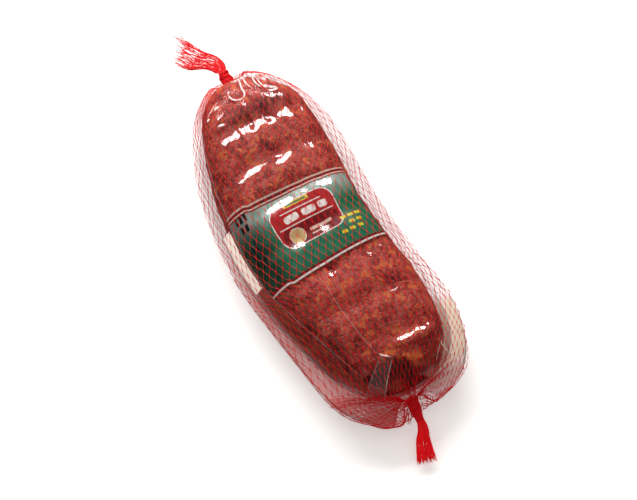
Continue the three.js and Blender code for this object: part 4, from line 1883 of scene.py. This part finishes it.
@dataclass
class NetTail:
    """The loose net past a knot: collapsed cells that fan out to uneven ends.

    Attributes:
        knot: the knot that it comes out of.
        run: its length in mm.
        turn: how far it bends to the side.
        drop: how far it falls.
        width: its width at its end.
        thickness: its thickness there.
        uneven: share of its length by which strands differ.
        seed: which pattern it is.
        strand: half thickness of a strand.
        columns: cells side by side round it.
        inner: how many straighter strands lie inside it.
        slant: share of its length by which its -Y side is shorter.
        deep: how much darker some of its strands are.
        flare: power of its widening, which is below 1 where it opens at once.
        cell: length of a cell in mm.
        joint: share of a cell that a joint takes, to each side.
    """

    knot: NetKnot
    run: float
    turn: float
    drop: float
    width: float
    thickness: float
    uneven: float
    seed: int
    strand: float
    columns: int = 36
    inner: int = 30
    slant: float = 0.0
    deep: float = 0.0
    flare: float = 0.8
    cell: float = 7.2
    joint: float = 0.18

    def place(self, t: Array, side: Array, lift: Array) -> Array:
        """Points of the tail, as in the CAD source."""
        bend = self.turn * ease(t, 0, 0.5)
        wide = self.knot.end_radius + (self.width / 2 - self.knot.end_radius) * t ** self.flare
        deep = self.knot.end_radius + (self.thickness / 2 - self.knot.end_radius) * t
        along = t * self.run
        x = along * np.cos(bend) - side * wide * np.sin(bend)
        y = along * np.sin(bend) + side * wide * np.cos(bend)
        z = lift * deep - self.drop * t * (2 - t) * 0.5 - self.drop * 0.5 * t
        return self.knot.to_pack(np.stack([x + self.knot.length - 0.8, y, z], axis=-1))

    def core(self, random: np.random.Generator) -> list[Thread]:
        """Straighter strands inside the bundle."""
        made = []
        for _ in range(self.inner):
            side, lift = random.uniform(-0.85, 0.85), random.uniform(-0.5, 0.5)
            last = self.reach(side) * (1 - self.uneven * random.random())
            t = np.linspace(0, last, 14)
            bow = random.uniform(-0.12, 0.12) * np.sin(math.pi * t)
            point = self.place(t, side + bow, lift + 0.5 * bow)
            point[:, 2] = np.maximum(point[:, 2], 0.5)
            tone = 1 - self.deep * random.random()
            made.append(Thread(point, np.full(14, self.strand * 1.15), np.full(14, tone)))
        return made

    def reach(self, side: float) -> float:
        """Share of the tail's length that its strands at one side reach."""
        return 1 - self.slant * (1 - side) / 2

    def build(self, material: Material) -> Object:
        """Makes the piece."""
        random = np.random.default_rng(self.seed)
        rows = max(int(self.run / self.cell), 4)
        depth = random.uniform(0.45, 1.0, self.columns + 1)
        depth[-1] = depth[0]
        stop = 1 - self.uneven * random.random((self.columns, 2)) ** 1.4
        shift = random.uniform(-0.3, 0.3, self.columns + 1)
        shift[-1] = shift[0]
        made = []
        steps = []
        for row in range(-1, rows + 2):
            steps += [row - self.joint, row + self.joint, row + 0.3, row + 0.7]
        step = np.array(steps)
        for column in range(self.columns):
            for which, sign in enumerate((1, -1)):
                last = stop[column, which] * self.reach(math.cos(TURN * column / self.columns))
                kept = step[(step >= 0) & (step / rows < last)]
                kept = np.append(kept, last * rows + 0.001)
                row = np.floor(kept + 0.5)
                within = kept - row
                base = np.floor(kept)
                share = np.clip((kept - base - self.joint) / (1 - 2 * self.joint), 0, 1)
                odd = np.where(base % 2 == 0, 0.5 * share, 0.5 * (1 - share))
                lane = (column + sign * odd) % self.columns
                turn = TURN * lane / self.columns
                deep = np.interp(lane, np.arange(self.columns + 1), depth)
                t = (kept + np.interp(lane, np.arange(self.columns + 1), shift) * np.minimum(kept, 1)) / rows
                t = np.clip(t, 0, 1)
                stray = 0.1 * np.sin(2.3 * kept + column * 1.7) * t
                point = self.place(t, np.cos(turn) * (0.86 - 0.3 * (1 - deep)) + stray, np.sin(turn) * deep)
                point[:, 2] = np.maximum(point[:, 2], 0.5)
                joint = np.where(np.abs(within) < 0.2, 1.0, 0.35)
                tone = np.full(len(t), 1 - self.deep * random.random())
                made.append(Thread(point, self.strand * (1 + 0.5 * joint), tone))
        made += self.core(random)
        piece = weave(self.knot.name + "_tail_strands", made)
        hand_over(piece, material, "net", self.knot.name + "_tail")
        return piece


@dataclass
class Studio:
    """Pale floor, soft light and the camera at the photograph's angle.

    Attributes:
        azimuth: the camera's azimuth in degrees.
        elevation: its elevation.
        distance: its distance in metres.
        lens: its focal length in mm.
        target: the place that it goes round, in metres.
        aside: how far right of and above the target it aims.
        key_way: direction to the main light.
        key_distance: distance of the main light in metres.
        key_size: its two sides.
        key_radiance: how bright its face is.
        floor_glow: how much the floor adds to the light on it.
        room: brightness that the room gains upwards, and its least brightness.
    """

    azimuth: float = 60.5
    elevation: float = 67.0
    distance: float = 1.975
    lens: float = 130.0
    target: tuple = (0, 0, 0.031)
    aside: tuple = (0.0026, -0.015)
    key_way: tuple = (-0.796, 0.192, 0.573)
    key_distance: float = 1.8
    key_size: tuple = (2.0, 0.42)
    key_radiance: float = 17.6
    floor_glow: float = 0.42
    room: tuple = (0.62, 0.1)

    def camera(self) -> None:
        """Places the camera."""
        turn, rise = math.radians(self.azimuth), math.radians(self.elevation)
        back = Vector((
            math.sin(turn) * math.cos(rise), -math.cos(turn) * math.cos(rise), math.sin(rise),
        ))
        right = (-back).cross(Vector((0, 0, 1))).normalized()
        up = right.cross(-back)
        target = Vector(self.target)
        aim = target + right * self.aside[0] + up * self.aside[1]
        place = target + back * self.distance
        data = bpy.data.cameras.new("view")
        data.lens = self.lens
        data.sensor_width = 36
        camera = bpy.data.objects.new("view", data)
        bpy.context.scene.collection.objects.link(camera)
        camera.location = place
        camera.rotation_euler = (aim - place).to_track_quat("-Z", "Y").to_euler()
        bpy.context.scene.camera = camera

    def panel(self, name: str, way: tuple, distance: float, size: tuple, radiance: float) -> None:
        """Adds a soft rectangular light.

        Args:
            name: the light's name.
            way: direction to it from the pack.
            distance: its distance in metres.
            size: its two sides in metres.
            radiance: how bright its face is.
        """
        data = bpy.data.lights.new(name, "AREA")
        data.shape = "RECTANGLE"
        data.size, data.size_y = size
        data.energy = radiance * math.pi * size[0] * size[1]
        light = bpy.data.objects.new(name, data)
        bpy.context.scene.collection.objects.link(light)
        light.location = Vector(way).normalized() * distance
        light.rotation_euler = (-light.location).to_track_quat("-Z", "Y").to_euler()

    def floor(self) -> None:
        """Adds the pale floor."""
        bpy.ops.object.select_all(action="DESELECT")
        bpy.ops.mesh.primitive_plane_add(size=6, location=(0, 0, -0.0003))
        floor = bpy.context.object
        floor.name = "floor"
        material, wiring, end = new_material("pale_floor")
        shader = wiring.add("BsdfDiffuse", {"Color": (0.9, 0.89, 0.88, 1)})
        lift = wiring.add("Emission", {"Color": (1, 0.985, 0.97, 1), "Strength": self.floor_glow})
        both = wiring.add("AddShader", {0: shader.outputs[0], 1: lift.outputs[0]})
        rays = wiring.add("LightPath")
        dull = wiring.add("BsdfDiffuse", {"Color": (0.55, 0.53, 0.51, 1)})
        dark = wiring.add("Emission", {"Color": (1, 1, 1, 1), "Strength": 0.05})
        unseen = wiring.blend(rays.outputs["Is Glossy Ray"], dull, dark)
        seen = wiring.blend(rays.outputs["Is Camera Ray"], unseen, both)
        wiring.feed(end.inputs[0], seen.outputs[0])
        floor.data.materials.append(material)

    def world(self) -> None:
        """Adds the white room, which is dim in reflections as a studio with dark walls is."""
        world = bpy.data.worlds.new("studio")
        world.use_nodes = True
        wiring = Wiring(world.node_tree)
        glossy = wiring.add("LightPath").outputs["Is Glossy Ray"]
        way = wiring.add("SeparateXYZ", {0: wiring.add("TexCoord").outputs["Generated"]}).outputs[2]
        high = wiring.math("MAXIMUM", way, 0.0)
        soft = wiring.math("MULTIPLY_ADD", wiring.times(high, high), *self.room)
        strength = wiring.times(soft, wiring.math("MULTIPLY_ADD", glossy, -0.94, 1.0))
        background = world.node_tree.nodes["Background"]
        background.inputs[0].default_value = (1, 0.95, 0.92, 1)
        wiring.feed(background.inputs[1], strength)
        bpy.context.scene.world = world

    def build(self) -> None:
        """Makes the camera, the lights, the world and the floor."""
        self.camera()
        self.panel("key", self.key_way, self.key_distance, self.key_size, self.key_radiance)
        self.world()
        bpy.context.scene.view_settings.view_transform = "Standard"
        self.floor()


def main() -> None:
    """Builds every piece in order."""
    Studio().build()
    effects = SharedEffects()
    Salami().build(MeatFinish().build(effects))
    label = FrontLabel()
    label.build(LabelFinish().build(effects, label.fold()))
    BackLabel().build(PaperFinish().build(effects))
    film = VacuumFilm().build(FilmFinish().build(effects))
    FilmGlintsAndCreases().build(GlintAndCreaseFinish().build(), Drape(vertex_points(film)))
    open_net = NetFinish().build(NetTone.OPEN)
    gathered_net = NetFinish().build(NetTone.GATHERED)
    loose_net = NetFinish().build(NetTone.LOOSE)
    StretchedNet().build(open_net, gathered_net)
    # The near knot's darker strands are painted shade.
    near_knot = NetKnot(
        "near", FORM.near, length=17, end_radius=3.3, ties=((0.75, 0.42, 0.2),), lean=(0, -2.6, -1.6),
        strands=44, bright=0.15,
    )
    far_knot = NetKnot("far", FORM.far, length=12, end_radius=3.4, ties=((0.4, 0.4, 0.3), (-0.4, 0.68, 0.26)))
    near_tail = NetTail(
        near_knot, run=35, turn=math.radians(-19), drop=13.5, width=19, thickness=7, uneven=0.1, seed=5,
        strand=0.17, columns=50, inner=60, deep=0.5,
    )
    far_tail = NetTail(
        far_knot, run=57, turn=math.radians(-32), drop=2, width=34, thickness=13, uneven=0.3, seed=9,
        strand=0.155, columns=54, inner=20, slant=0.25, deep=0.1, flare=0.5,
    )
    for knot in (near_knot, far_knot):
        knot.build(gathered_net)
    for tail in (near_tail, far_tail):
        tail.build(loose_net)


if __name__ == "__main__":
    main()
